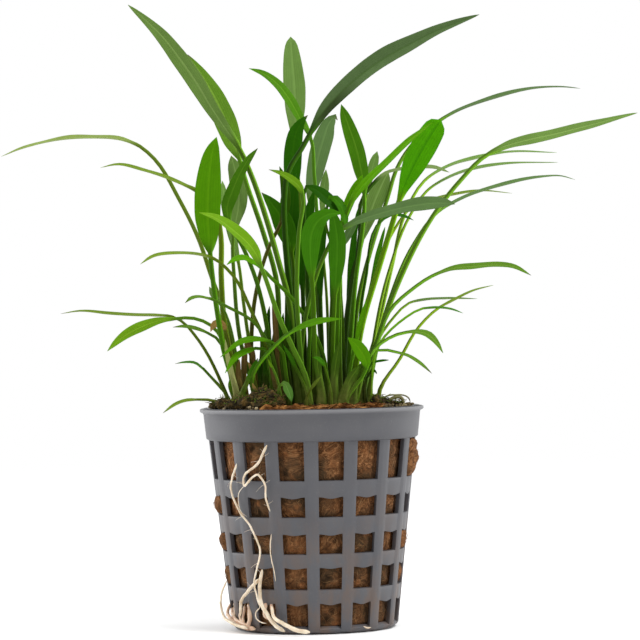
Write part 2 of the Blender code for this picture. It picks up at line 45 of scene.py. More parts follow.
# The view. The picture was taken from straight in front, a little above the rim, from 750 mm away, and it is rolled
# by one degree. Places on the plant are written in mm, as they show on the upright plane through the pot's axis.
EYE_ACROSS = 2.3
EYE_HEIGHT = 71.2
EYE_DISTANCE = 750.0
PICTURE_WIDTH = 640 * 0.23266
SENSOR_WIDTH = 36.0
ROLL = math.radians(1.0)

lens = bpy.data.cameras.new("eye")
lens.sensor_width = SENSOR_WIDTH
lens.lens = SENSOR_WIDTH * EYE_DISTANCE / PICTURE_WIDTH
lens.clip_start = 0.01
lens.clip_end = 20
camera = bpy.data.objects.new("eye", lens)
eye = Vector((EYE_ACROSS, -EYE_DISTANCE, EYE_HEIGHT)) * MM
level_look = Matrix.Rotation(math.radians(90), 4, "X")
camera.matrix_world = Matrix.Translation(eye) @ level_look @ Matrix.Rotation(-ROLL, 4, "Z")
bpy.context.scene.collection.objects.link(camera)
bpy.context.scene.camera = camera


def seen_from_front(across, up, behind):
    """The point that far behind the pot's axis that shows at (across, up) on the upright plane through it."""
    grown = 1 + behind / EYE_DISTANCE
    return Vector((EYE_ACROSS + (across - EYE_ACROSS) * grown, behind, EYE_HEIGHT + (up - EYE_HEIGHT) * grown))


# The net pot. It is injection moulded in one piece from bluish grey polypropylene: a plain band with a thin flared
# lip, and below it a tapered wall of sixteen ribs joined by five rings. The ribs stand a little proud of the rings,
# and the upper edges of the lower holes sag in the middle, where the mould's core pulls out.
POT_HEIGHT = 51.0
WALL_FOOT_RADIUS = 19.0
WALL_TAPER = 0.11
WALL_THICKNESS = 1.2
COLUMNS = 16
RIB_STEPS = 5
HOLE_STEPS = 9
STEP_ANGLE = math.tau / COLUMNS / (RIB_STEPS + HOLE_STEPS)
FRONT_RIB = math.radians(-90.6)
RIB_START = FRONT_RIB - STEP_ANGLE * RIB_STEPS / 2
RIB_PROUD = 0.22
HOLE_ROWS = ((34.8, 43.7), (26.5, 31.2), (18.1, 22.75), (10.0, 15.1), (1.0, 6.9))
HOLE_SAG = 0.55


def wall_radius(height):
    return WALL_FOOT_RADIUS + WALL_TAPER * height


def turn_of(place):
    """How far round the pot a place is, in steps from the front rib's left edge: (column, steps past its edge)."""
    steps = ((math.atan2(place.y, place.x) - RIB_START) % math.tau) / STEP_ANGLE
    return steps // (RIB_STEPS + HOLE_STEPS), steps % (RIB_STEPS + HOLE_STEPS)


def add_piece(name, bm, material, stands_for=None, crease=40):
    """A finished piece from a bmesh in mm: it rides on the plant's one body and may stand for a CAD node."""
    mesh = bpy.data.meshes.new(name)
    bmesh.ops.scale(bm, verts=bm.verts, vec=(MM, MM, MM))
    bm.to_mesh(mesh)
    bm.free()
    mesh.shade_smooth()
    mesh.set_sharp_from_angle(angle=math.radians(crease))
    mesh.materials.append(material)
    piece = bpy.data.objects.new(name, mesh)
    bpy.context.scene.collection.objects.link(piece)
    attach(piece, "root")
    if stands_for:
        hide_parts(stands_for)
    return piece


def new_material(name):
    """A material, its node tree and its Principled shader."""
    material = bpy.data.materials.new(name)
    material.use_nodes = True
    return material, material.node_tree, material.node_tree.nodes["Principled BSDF"]


def node(tree, kind, inputs=(), **settings):
    """Adds a shader node. Inputs are (socket, value or another node's output) pairs."""
    made = tree.nodes.new(kind)
    for key, value in settings.items():
        setattr(made, key, value)
    for socket, value in inputs:
        if isinstance(value, bpy.types.NodeSocket):
            tree.links.new(value, made.inputs[socket])
        else:
            made.inputs[socket].default_value = value
    return made


def noise_of(tree, scale, detail=4.0, roughness=0.55, stretch=(1, 1, 1)):
    """Noise over the piece in its own place, in lumps of 1/scale metres, stretched by an inverse factor a side."""
    place = node(tree, "ShaderNodeTexCoord").outputs["Object"]
    stretched = node(tree, "ShaderNodeMapping", [("Vector", place), ("Scale", stretch)]).outputs["Vector"]
    inputs = [("Vector", stretched), ("Scale", scale), ("Detail", detail), ("Roughness", roughness)]
    return node(tree, "ShaderNodeTexNoise", inputs).outputs["Fac"]


def ramp(tree, factor, *stops):
    """A colour ramp: stops are (position, red, green, blue)."""
    made = node(tree, "ShaderNodeValToRGB", [("Fac", factor)])
    while len(made.color_ramp.elements) < len(stops):
        made.color_ramp.elements.new(0.5)
    for element, (at, *colour) in zip(made.color_ramp.elements, stops):
        element.position = at
        element.color = (*colour, 1)
    return made.outputs["Color"]


def blended(tree, factor, first, second, how="MIX"):
    """Two colours mixed; each is an output or a colour value."""
    made = node(tree, "ShaderNodeMix", data_type="RGBA", blend_type=how)
    for socket, value in zip((made.inputs[0], made.inputs[6], made.inputs[7]), (factor, first, second)):
        if isinstance(value, bpy.types.NodeSocket):
            tree.links.new(value, socket)
        else:
            socket.default_value = value if isinstance(value, (int, float)) else (*value, 1)
    return made.outputs[2]


def sums(tree, how, *values):
    """A Math node over numbers or outputs."""
    return node(tree, "ShaderNodeMath", list(enumerate(values)), operation=how).outputs[0]


def bumped(tree, shader, height, strength, distance):
    made = node(tree, "ShaderNodeBump", [("Height", height), ("Strength", strength), ("Distance", distance * MM)])
    tree.links.new(made.outputs["Normal"], shader.inputs["Normal"])


def pot_plastic():
    material, tree, shader = new_material("moulded_grey_plastic")
    cloud = noise_of(tree, 90, 3)
    streak = noise_of(tree, 260, 4, stretch=(1, 1, 0.12))
    speck = noise_of(tree, 2400, 2)
    base = ramp(tree, cloud, (0.3, 0.056, 0.056, 0.064), (0.5, 0.064, 0.0645, 0.073), (0.72, 0.076, 0.0755, 0.082))
    streaked = blended(tree, sums(tree, "MULTIPLY", streak, 0.35), base, (0.095, 0.095, 0.1))
    dusted = blended(tree, ramp(tree, speck, (0.62, 0, 0, 0), (0.78, 0.3, 0.3, 0.3)), streaked, (0.15, 0.145, 0.14))
    height = node(tree, "ShaderNodeSeparateXYZ", [("Vector", node(tree, "ShaderNodeTexCoord").outputs["Object"])])
    low = node(tree, "ShaderNodeMapRange", [("Value", height.outputs["Z"]), ("From Min", 0.036), ("From Max", 0.006)])
    runs = ramp(tree, noise_of(tree, 210, 5, 0.65, stretch=(1, 1, 0.45)), (0.43, 0, 0, 0), (0.6, 0.8, 0.8, 0.8))
    stain = sums(tree, "MULTIPLY", runs, low.outputs[0])
    dusted = blended(tree, stain, dusted, (0.105, 0.072, 0.056))
    # The top of the lip is painted lighter all round: a painted highlight along with wear.
    lip_highlight_and_wear = node(tree, "ShaderNodeMapRange", [("Value", height.outputs["Z"]), ("From Min", 0.0499), ("From Max", 0.0505)])
    lipped = blended(tree, sums(tree, "MULTIPLY", lip_highlight_and_wear.outputs[0], 0.55), dusted, (0.22, 0.22, 0.23))
    tree.links.new(lipped, shader.inputs["Base Color"])
    tree.links.new(
        node(tree, "ShaderNodeMapRange", [("Value", cloud), ("To Min", 0.42), ("To Max", 0.6)]).outputs[0],
        shader.inputs["Roughness"],
    )
    shader.inputs["Specular IOR Level"].default_value = 0.42
    bumped(tree, shader, sums(tree, "ADD", speck, sums(tree, "MULTIPLY", streak, 1.5)), 0.25, 0.05)
    return material


def make_pot():
    profile = [(25.75, 51.0), (26.0, 50.85), (26.02, 50.45), (25.85, 50.2), (25.35, 50.0), (25.2, 49.7)]
    profile += [(25.2 - 0.6 * share, 49.7 - 5.6 * share) for share in (0.25, 0.5, 0.75, 1)]
    profile += [(24.3, 43.85), (wall_radius(43.7), 43.7)]
    for low, high in HOLE_ROWS:
        if high < 43:
            profile.append((wall_radius(high), high))
        profile += [(wall_radius(high - share * (high - low)), high - share * (high - low)) for share in (0.2, 0.5, 0.8, 1)]
        profile.append((wall_radius(low - 0.9), low - 0.9))
    profile[-1] = (WALL_FOOT_RADIUS - 0.25, 0.45)
    profile += [(18.5, 0.12), (18.0, 0), (14.5, 0), (10.5, 0), (6.5, 0), (0, 0)]
    bm = bmesh.new()
    line = [bm.verts.new((radius, 0, height)) for radius, height in profile]
    edges = [bm.edges.new(pair) for pair in zip(line, line[1:])]
    bmesh.ops.rotate(bm, verts=line, cent=(0, 0, 0), matrix=Matrix.Rotation(RIB_START, 3, "Z"))
    turns = COLUMNS * (RIB_STEPS + HOLE_STEPS)
    bmesh.ops.spin(
        bm, geom=line + edges, axis=(0, 0, 1), cent=(0, 0, 0), angle=math.tau, steps=turns, use_merge=True
    )
    bmesh.ops.remove_doubles(bm, verts=bm.verts, dist=0.01)
    bmesh.ops.recalc_face_normals(bm, faces=bm.faces)
    gone = []
    for face in bm.faces:
        middle = face.calc_center_median()
        column, steps = turn_of(middle)
        radius = math.hypot(middle.x, middle.y)
        in_base_slot = 6.5 < radius < 14.5 and middle.z < 0.05 and not (column % 2 == 0 and steps < RIB_STEPS)
        in_hole = steps > RIB_STEPS and radius > 14.5 and any(low < middle.z < high for low, high in HOLE_ROWS)
        if in_base_slot or in_hole:
            gone.append(face)
    bmesh.ops.delete(bm, geom=gone, context="FACES")
    for vert in bm.verts:
        column, steps = turn_of(vert.co)
        if vert.co.z > 43.8 or vert.co.z < 0.3:
            continue
        steps = round(steps, 3) % (RIB_STEPS + HOLE_STEPS)
        if 0 < steps < RIB_STEPS:
            outwards = Vector((vert.co.x, vert.co.y, 0)).normalized()
            vert.co += outwards * RIB_PROUD
        elif steps > RIB_STEPS:
            share = (steps - RIB_STEPS) / HOLE_STEPS
            is_top = any(abs(vert.co.z - high) < 0.05 for low, high in HOLE_ROWS[1:])
            if is_top:
                vary = 0.75 + 0.5 * noise.noise(Vector((column * 1.7, vert.co.z * 0.3, 0)))
                vert.co.z -= HOLE_SAG * vary * math.sin(math.pi * share) ** 2
    pot = add_piece("pot", bm, pot_plastic(), "net_pot", crease=50)
    wall = pot.modifiers.new("Wall", "SOLIDIFY")
    wall.thickness = WALL_THICKNESS * MM
    wall.offset = -1
    wall.use_even_offset = True
    edge = pot.modifiers.new("Edge", "BEVEL")
    edge.width = 0.16 * MM
    edge.segments = 2
    edge.limit_method = "ANGLE"
    edge.angle_limit = math.radians(50)


make_pot()

# The rockwool plug. It is a block of spun mineral fibre, stained brown by the nursery's water, pressed into the pot
# while wet, so it swells out of the holes. Its top shows as an orange-brown crust inside the lip at the front.
PLUG_GAP = 0.35
PLUG_TOP = 50.2
CRUST_TOP = 52.4
# Column counted round from the front rib, row from the top, and how far the fibre swells out there.
BULGES = {(3, 0): 3.3, (3, 2): 2.5, (3, 3): 2.0, (12, 1): 2.9, (12, 2): 2.7, (12, 3): 2.4, (8, 1): 2.1, (6, 0): 2.3}
# Dark pits in the holes, sunk into the fibre and darkened with painted shade: column, row, how far across and up the
# hole, size in mm.
SHADED_PITS = (
    (0, 2, 0.3, 0.3, 1.0), (0, 2, 0.75, 0.62, 0.7), (0, 3, 0.45, 0.55, 1.0), (0, 3, 0.2, 0.3, 0.6),
    (0, 4, 0.3, 0.4, 1.2), (0, 4, 0.6, 0.7, 0.9), (15, 4, 0.7, 0.2, 0.9), (15, 3, 0.2, 0.15, 0.6),
    (1, 0, 0.15, 0.2, 0.9), (2, 0, 0.8, 0.6, 0.9), (14, 0, 0.2, 0.85, 1.1), (14, 1, 0.3, 0.3, 0.9),
    (1, 3, 0.2, 0.5, 0.7), (2, 2, 0.6, 0.3, 0.7), (13, 2, 0.5, 0.5, 0.8), (15, 0, 0.12, 0.2, 1.2),
)


def crust_share(angle):
    """How much of the crust's height the plug's edge has at this turn: all of it across the right front."""
    off_front = abs((math.degrees(angle) + 78 + 180) % 360 - 180)
    return max(0.0, min(1.0, (52 - off_front) / 12))


def rockwool():
    material, tree, shader = new_material("stained_rockwool")
    place = node(tree, "ShaderNodeTexCoord").outputs["Object"]
    inputs = [("Vector", place), ("Scale", 150.0), ("Detail", 2.0), ("Distortion", 2.2)]
    swirl = node(tree, "ShaderNodeTexNoise", inputs).outputs["Color"]
    inputs = [("Vector", swirl), ("Scale", 9.0), ("Detail", 6.0), ("Roughness", 0.6), ("Distortion", 1.2)]
    fibre = node(tree, "ShaderNodeTexNoise", inputs).outputs["Fac"]
    lump = noise_of(tree, 330, 4, 0.6)
    stain = noise_of(tree, 120, 3)
    base = ramp(tree, fibre, (0.34, 0.05, 0.022, 0.009), (0.5, 0.15, 0.062, 0.023), (0.68, 0.37, 0.18, 0.075))
    stained = blended(tree, ramp(tree, stain, (0.44, 0, 0, 0), (0.6, 0.75, 0.75, 0.75)), base, (0.047, 0.032, 0.017))
    warm = blended(tree, ramp(tree, lump, (0.55, 0, 0, 0), (0.75, 0.6, 0.6, 0.6)), stained, (0.31, 0.115, 0.038))
    height = node(tree, "ShaderNodeSeparateXYZ", [("Vector", place)]).outputs["Z"]
    dried = node(tree, "ShaderNodeMapRange", [("Value", height), ("From Min", 0.0498), ("From Max", 0.0508)])
    crust = ramp(tree, lump, (0.36, 0.06, 0.022, 0.006), (0.52, 0.17, 0.062, 0.012), (0.66, 0.42, 0.2, 0.06))
    warm = blended(tree, sums(tree, "MULTIPLY", dried.outputs[0], 0.85), warm, crust)
    # Painted shade: the layer marks the sunk pits and darkens them nearly to black.
    pit_shade = node(tree, "ShaderNodeAttribute", attribute_name="pit_shade").outputs["Fac"]
    warm = blended(tree, pit_shade, warm, (0.014, 0.009, 0.005))
    tree.links.new(warm, shader.inputs["Base Color"])
    shader.inputs["Roughness"].default_value = 0.92
    shader.inputs["Specular IOR Level"].default_value = 0.1
    bumped(tree, shader, sums(tree, "ADD", fibre, lump), 0.8, 0.4)
    return material


def make_plug():
    bm = bmesh.new()
    turns = COLUMNS * (RIB_STEPS + HOLE_STEPS)
    bmesh.ops.create_cone(bm, segments=turns, radius1=20, radius2=20, depth=1)
    bmesh.ops.rotate(bm, verts=bm.verts, cent=(0, 0, 0), matrix=Matrix.Rotation(RIB_START, 3, "Z"))
    upright = [edge for edge in bm.edges if abs(edge.verts[0].co.z - edge.verts[1].co.z) > 0.5]
    bmesh.ops.subdivide_edges(bm, edges=upright, cuts=79)
    foot = WALL_THICKNESS + PLUG_GAP
    pit_shade = bm.verts.layers.float.new("pit_shade")
    for vert in bm.verts:
        share = vert.co.z + 0.5
        angle = math.atan2(vert.co.y, vert.co.x)
        height = foot + share * (PLUG_TOP - foot)
        ragged = 0.62 + 0.75 * noise.noise(Vector((angle * 9, 0, 0))) + 0.3 * noise.noise(Vector((angle * 31, 4, 0)))
        height += share ** 8 * (CRUST_TOP - PLUG_TOP) * crust_share(angle) * max(0.1, min(1.15, ragged))
        radius = wall_radius(min(height, 49)) - WALL_THICKNESS - PLUG_GAP
        column, steps = turn_of(vert.co)
        place = Vector((math.cos(angle) * radius, math.sin(angle) * radius, height))
        rough = noise.fractal(place * 0.55, 0.9, 2.2, 5)
        radius += min(0.0, 0.3 * rough - 0.25)
        in_hole = (steps - RIB_STEPS) / HOLE_STEPS
        for row, (low, high) in enumerate(HOLE_ROWS):
            up = (height - low) / (high - low)
            if 0.02 < up < 0.98 and 0.02 < in_hole < 0.98:
                swell = BULGES.get((int(column), row), 0.7)
                boxy = 0.35 if swell < 2.4 else 0.18
                window = (math.sin(math.pi * in_hole) * math.sin(math.pi * up)) ** boxy
                radius += swell * window * (0.95 + 0.09 * rough)
                # Pits sink the fibre here and mark the layer that paints shade into them.
                for spot_column, spot_row, across, above, size in SHADED_PITS:
                    if (spot_column, spot_row) == (column, row):
                        off = math.hypot((in_hole - across) * 5.4, (up - above) * (high - low))
                        sunk = max(0.0, 1 - off / size * (1 + 0.5 * noise.noise(place * 1.3))) ** 0.6
                        radius -= 0.9 * sunk
                        vert[pit_shade] = max(vert[pit_shade], 0.9 * sunk)
        vert.co = (math.cos(angle) * radius, math.sin(angle) * radius, height)
    rim = [edge for edge in bm.edges if edge.is_boundary and edge.verts[0].co.z > 30]
    ring = {vert for edge in rim for vert in edge.verts}
    for shrink, dip in ((0.93, 0.0), (0.87, 0.9), (0.8, 1.0), (0.6, 1.0), (0.3, 1.0)):
        grown = bmesh.ops.extrude_edge_only(bm, edges=rim)["geom"]
        rim = [item for item in grown if isinstance(item, bmesh.types.BMEdge)]
        for vert in {vert for edge in rim for vert in edge.verts}:
            angle = math.atan2(vert.co.y, vert.co.x)
            radius = 22.8 * shrink
            crusty = (1 - dip) * (CRUST_TOP - PLUG_TOP) * crust_share(angle) * 0.8
            place = Vector((math.cos(angle) * radius, math.sin(angle) * radius, 0))
            height = PLUG_TOP + crusty + 0.5 * noise.fractal(place * 0.5, 0.9, 2.1, 4) - 0.1
            vert.co = (place.x, place.y, height)
    bmesh.ops.contextual_create(bm, geom=rim)
    low_rim = [edge for edge in bm.edges if edge.is_boundary]
    bmesh.ops.contextual_create(bm, geom=low_rim)
    bmesh.ops.triangulate(bm, faces=[face for face in bm.faces if len(face.verts) > 4])
    bmesh.ops.recalc_face_normals(bm, faces=bm.faces)
    plug = add_piece("rockwool", bm, rockwool(), "rockwool_plug", crease=180)


make_plug()


def strand_piece(name, strands, material, sides=0):
    """Many fine strands as one mesh. A strand is its points in mm, each with its radius."""
    form = bpy.data.curves.new(name, "CURVE")
    form.dimensions = "3D"
    form.bevel_depth = MM
    form.bevel_resolution = sides
    form.use_fill_caps = True
    for strand in strands:
        spline = form.splines.new("POLY")
        spline.points.add(len(strand) - 1)
        for point, (place, radius) in zip(spline.points, strand):
            point.co = (*(Vector(place) * MM), 1)
            point.radius = radius
    guide = bpy.data.objects.new(name, form)
    bpy.context.scene.collection.objects.link(guide)
    bpy.context.view_layer.update()
    mesh = bpy.data.meshes.new_from_object(guide.evaluated_get(bpy.context.evaluated_depsgraph_get()))
    bpy.data.objects.remove(guide)
    bm = bmesh.new()
    bm.from_mesh(mesh)
    bpy.data.meshes.remove(mesh)
    bmesh.ops.remove_doubles(bm, verts=bm.verts, dist=1e-6)
    bmesh.ops.recalc_face_normals(bm, faces=bm.faces)
    bmesh.ops.scale(bm, verts=bm.verts, vec=(1 / MM, 1 / MM, 1 / MM))
    return add_piece(name, bm, material, crease=180)


# Flakes of the crust. Dried fibre has split off the block's top edge in thin orange-brown scales that lie on it.
FLAKES = 190


def make_flakes():
    chance = random.Random(23)
    bm = bmesh.new()
    for count in range(FLAKES):
        turn = math.radians(chance.uniform(-122, -42))
        radius = chance.uniform(19.6, 23.2)
        level = PLUG_TOP + 0.6 + 1.1 * crust_share(turn) * chance.uniform(0.2, 1.1)
        made = bmesh.ops.create_icosphere(bm, subdivisions=2, radius=1)["verts"]
        size = (chance.uniform(0.4, 1.7), chance.uniform(0.1, 0.32), chance.uniform(0.04, 0.1))
        shift = Vector((chance.uniform(0, 90), 0, 0))
        tilt = Matrix.Rotation(chance.uniform(-0.6, 0.6), 3, "X") @ Matrix.Rotation(chance.uniform(-0.5, 0.5), 3, "Y")
        heading = Matrix.Rotation(turn + math.pi / 2 + chance.uniform(-0.7, 0.7), 3, "Z")
        middle = Vector((math.cos(turn) * radius, math.sin(turn) * radius, level))
        for vert in made:
            grown = vert.co * (1 + 0.4 * noise.noise(vert.co * 2 + shift))
            vert.co = middle + heading @ tilt @ Vector(part * reach for part, reach in zip(grown, size))
    flakes = add_piece("crust_flakes", bm, rockwool(), crease=35)


make_flakes()

# Loose rockwool fibres. Where the block shows in the holes and at its crust its fibres stand out as fine tangled
# threads, lighter than the mass behind them.
FIBRES = 700


def fibre_material():
    material, tree, shader = new_material("loose_fibre")
    shade = noise_of(tree, 500, 2)
    base = ramp(tree, shade, (0.35, 0.08, 0.035, 0.01), (0.5, 0.19, 0.085, 0.025), (0.68, 0.36, 0.19, 0.07))
    tree.links.new(base, shader.inputs["Base Color"])
    shader.inputs["Roughness"].default_value = 0.85
    return material


def make_fibres():
    chance = random.Random(11)
    strands = []
    for count in range(FIBRES):
        column = chance.randrange(COLUMNS)
        row = chance.randrange(len(HOLE_ROWS))
        low, high = HOLE_ROWS[row]
        steps = RIB_STEPS + HOLE_STEPS * chance.uniform(0.1, 0.9)
        angle = RIB_START + (column * (RIB_STEPS + HOLE_STEPS) + steps) * STEP_ANGLE
        height = chance.uniform(low + 0.5, high - 0.5)
        lift = BULGES.get((column, row), 0.5)
        lean = chance.uniform(-1, 1)
        curl = chance.uniform(-0.5, 0.5)
        length = chance.uniform(1.2, 3.4)
        strand = []
        for share in (0, 0.33, 0.67, 1):
            along = (share - 0.5) * length
            turn = angle + (along * math.cos(lean * 1.4 + curl * share)) / 22
            z = min(high - 0.3, max(low + 0.3, height + along * math.sin(lean * 1.4 + curl * share)))
            in_steps = ((turn - RIB_START) % math.tau) / STEP_ANGLE % (RIB_STEPS + HOLE_STEPS) - RIB_STEPS
            in_hole = in_steps / HOLE_STEPS
            if not 0.03 < in_hole < 0.97:
                break
            window = (math.sin(math.pi * in_hole) * math.sin(math.pi * (z - low) / (high - low))) ** 0.4
            radius = wall_radius(z) - WALL_THICKNESS - PLUG_GAP + lift * window * 0.98 + chance.uniform(-0.15, 0.12)
            strand.append(((math.cos(turn) * radius, math.sin(turn) * radius, z), 0.035))
        if len(strand) > 2:
            strands.append(strand)
    fibres = strand_piece("rockwool_fibres", strands, fibre_material())


make_fibres()

# The leaves of the left-hand side. A leaf grows from the crown in one piece: a juicy stalk a millimetre thick that
# widens at its foot, and a soft blade with a keeled midrib below, fine veins along it and slightly wavy edges.
FOOT_HEIGHT = PLUG_TOP + 0.35
LEAF_ROUND = 24
STALK_STATION = 2.2
BLADE_STATION = 1.1

# Blade, underside, stalk and vein colours of the leaves, from the fresh bright ones to the dark shaded ones.
BRIGHT = ((0.09, 0.3, 0.001), (0.14, 0.34, 0.01), (0.09, 0.26, 0.006), (0.14, 0.38, 0.004))
LUSH = ((0.062, 0.215, 0.003), (0.1, 0.26, 0.02), (0.085, 0.24, 0.008), (0.15, 0.34, 0.02))
FRESH = ((0.08, 0.35, 0.001), (0.17, 0.4, 0.012), (0.14, 0.3, 0.006), (0.035, 0.2, 0.001))
LIGHT = ((0.135, 0.31, 0.005), (0.22, 0.4, 0.03), (0.12, 0.3, 0.015), (0.25, 0.44, 0.03))
LEAFY = ((0.11, 0.26, 0.014), (0.18, 0.32, 0.05), (0.1, 0.25, 0.01), (0.26, 0.44, 0.06))
MID = ((0.042, 0.19, 0.002), (0.09, 0.22, 0.02), (0.08, 0.2, 0.004), (0.08, 0.27, 0.008))
SILVER = ((0.13, 0.24, 0.045), (0.2, 0.3, 0.1), (0.1, 0.23, 0.008), (0.28, 0.42, 0.12))
GREY = ((0.1, 0.185, 0.055), (0.15, 0.24, 0.09), (0.09, 0.21, 0.008), (0.15, 0.26, 0.08))
GREY_DARK_STALK = ((0.115, 0.19, 0.07), (0.15, 0.23, 0.09), (0.03, 0.1, 0.002), (0.07, 0.14, 0.03))
PALE = ((0.15, 0.28, 0.055), (0.25, 0.36, 0.14), (0.15, 0.28, 0.012), (0.24, 0.4, 0.1))
PALE_DARK_STALK = ((0.2, 0.3, 0.09), (0.25, 0.34, 0.13), (0.018, 0.06, 0.001), (0.24, 0.36, 0.1))
PALE_OLIVE = ((0.21, 0.29, 0.06), (0.3, 0.37, 0.13), (0.13, 0.22, 0.006), (0.3, 0.4, 0.13))
OLIVE = ((0.15, 0.26, 0.015), (0.25, 0.33, 0.08), (0.13, 0.22, 0.006), (0.27, 0.36, 0.05))
BROWN_STALK = ((0.03, 0.12, 0.001), (0.05, 0.13, 0.008), (0.125, 0.13, 0.015), (0.1, 0.16, 0.01))
COOL = ((0.085, 0.25, 0.03), (0.13, 0.3, 0.06), (0.09, 0.24, 0.01), (0.22, 0.42, 0.1))
DARK = ((0.02, 0.115, 0.001), (0.04, 0.13, 0.008), (0.032, 0.11, 0.002), (0.03, 0.13, 0.002))
leaf_materials = {}


def smooth_line(points, step):
    """Points about `step` apart on a smooth curve through the given ones."""
    points = np.array(points, float)
    knots = np.concatenate([[0], np.cumsum(np.linalg.norm(np.diff(points, axis=0), axis=1))])
    slopes = np.gradient(points, knots, axis=0)
    fine = np.linspace(0, knots[-1], 400)
    piece = np.clip(np.searchsorted(knots, fine, side="right") - 1, 0, len(knots) - 2)
    span = (knots[piece + 1] - knots[piece])[:, None]
    t = (fine - knots[piece])[:, None] / span
    curve = (
        (1 + 2 * t) * (1 - t) ** 2 * points[piece]
        + t * (1 - t) ** 2 * span * slopes[piece]
        + t * t * (3 - 2 * t) * points[piece + 1]
        + t * t * (t - 1) * span * slopes[piece + 1]
    )
    run = np.concatenate([[0], np.cumsum(np.linalg.norm(np.diff(curve, axis=0), axis=1))])
    even = np.linspace(0, run[-1], max(3, round(run[-1] / step) + 1))
    return np.stack([np.interp(even, run, curve[:, axis]) for axis in range(curve.shape[1])], axis=1)


def height_as_seen(height, behind):
    return EYE_HEIGHT + (height - EYE_HEIGHT) / (1 + behind / EYE_DISTANCE)


def attribute(tree, name):
    return node(tree, "ShaderNodeAttribute", attribute_name=name).outputs["Fac"]


def leaf_material(tint):
    """Leaf skin over the attributes that grow_leaf writes: across, blade, under, foot, dry, shade and painted shade."""
    if tint in leaf_materials:
        return leaf_materials[tint]
    material, tree, shader = new_material(f"leaf_skin_{len(leaf_materials)}")
    blade, under, stalk, vein = tint
    across = attribute(tree, "across")
    off_rib = sums(tree, "ABSOLUTE", across)
    in_blade = attribute(tree, "blade")
    wave = sums(tree, "SINE", sums(tree, "MULTIPLY", across, 30.0))
    threads = ramp(tree, wave, (0.55, 0, 0, 0), (0.95, 1, 1, 1))
    rib = ramp(tree, off_rib, (0.05, 1, 1, 1), (0.13, 0, 0, 0))
    mottle = noise_of(tree, 420, 4, 0.6)
    broad = noise_of(tree, 90, 3, 0.5)
    top = blended(tree, ramp(tree, mottle, (0.35, 0, 0, 0), (0.7, 0.35, 0.35, 0.35)), blade, tuple(0.62 * part for part in blade))
    top = blended(tree, sums(tree, "MULTIPLY", threads, 0.26), top, vein)
    top = blended(tree, sums(tree, "MULTIPLY", rib, 0.6), top, vein)
    below = blended(tree, sums(tree, "MULTIPLY", threads, 0.3), under, tuple(0.6 * part for part in under))
    below = blended(tree, sums(tree, "MULTIPLY", rib, 0.7), below, vein)
    skin = blended(tree, attribute(tree, "under"), top, below)
    # Stalks are painted darker on one side and lighter on the other: painted shade and painted light.
    side_lit = ramp(tree, across, (0.1, 0, 0, 0), (0.8, 1, 1, 1))
    stem = blended(tree, side_lit, tuple(0.5 * part for part in stalk), tuple(1.6 * part for part in stalk))
    colour = blended(tree, in_blade, stem, skin)
    patchy = sums(tree, "MULTIPLY", broad, sums(tree, "MULTIPLY_ADD", in_blade, 0.22, 0.1))
    colour = blended(tree, patchy, colour, tuple(0.8 * part for part in vein))
    sheath = ramp(tree, mottle, (0.35, 0.07, 0.07, 0.012), (0.6, 0.2, 0.19, 0.05))
    colour = blended(tree, sums(tree, "MULTIPLY", attribute(tree, "foot"), 0.75), colour, sheath)
    # Painted shade: the skin is darkened deep in the tuft and over the shaded start of a blade's half.
    colour = blended(tree, sums(tree, "MULTIPLY", attribute(tree, "painted_shade"), 0.8), colour, (0.014, 0.026, 0.001))
    colour = blended(tree, attribute(tree, "dry"), colour, (0.11, 0.085, 0.05))
    shade = node(tree, "ShaderNodeHueSaturation", [("Value", attribute(tree, "shade")), ("Color", colour)])
    tree.links.new(shade.outputs["Color"], shader.inputs["Base Color"])
    shader.inputs["Roughness"].default_value = 0.45
    shader.inputs["Specular IOR Level"].default_value = 0.035
    relief = sums(tree, "ADD", sums(tree, "MULTIPLY", threads, 0.5), mottle)
    bumped(tree, shader, relief, 0.35, 0.08)
    through = node(tree, "ShaderNodeBsdfTranslucent", [("Color", shade.outputs["Color"])])
    thin = sums(tree, "MULTIPLY_ADD", in_blade, 0.22, 0.08)
    mix = node(tree, "ShaderNodeMixShader", [(0, thin), (1, shader.outputs[0]), (2, through.outputs[0])])
    tree.links.new(mix.outputs[0], tree.nodes["Material Output"].inputs["Surface"])
    leaf_materials[tint] = material
    return material


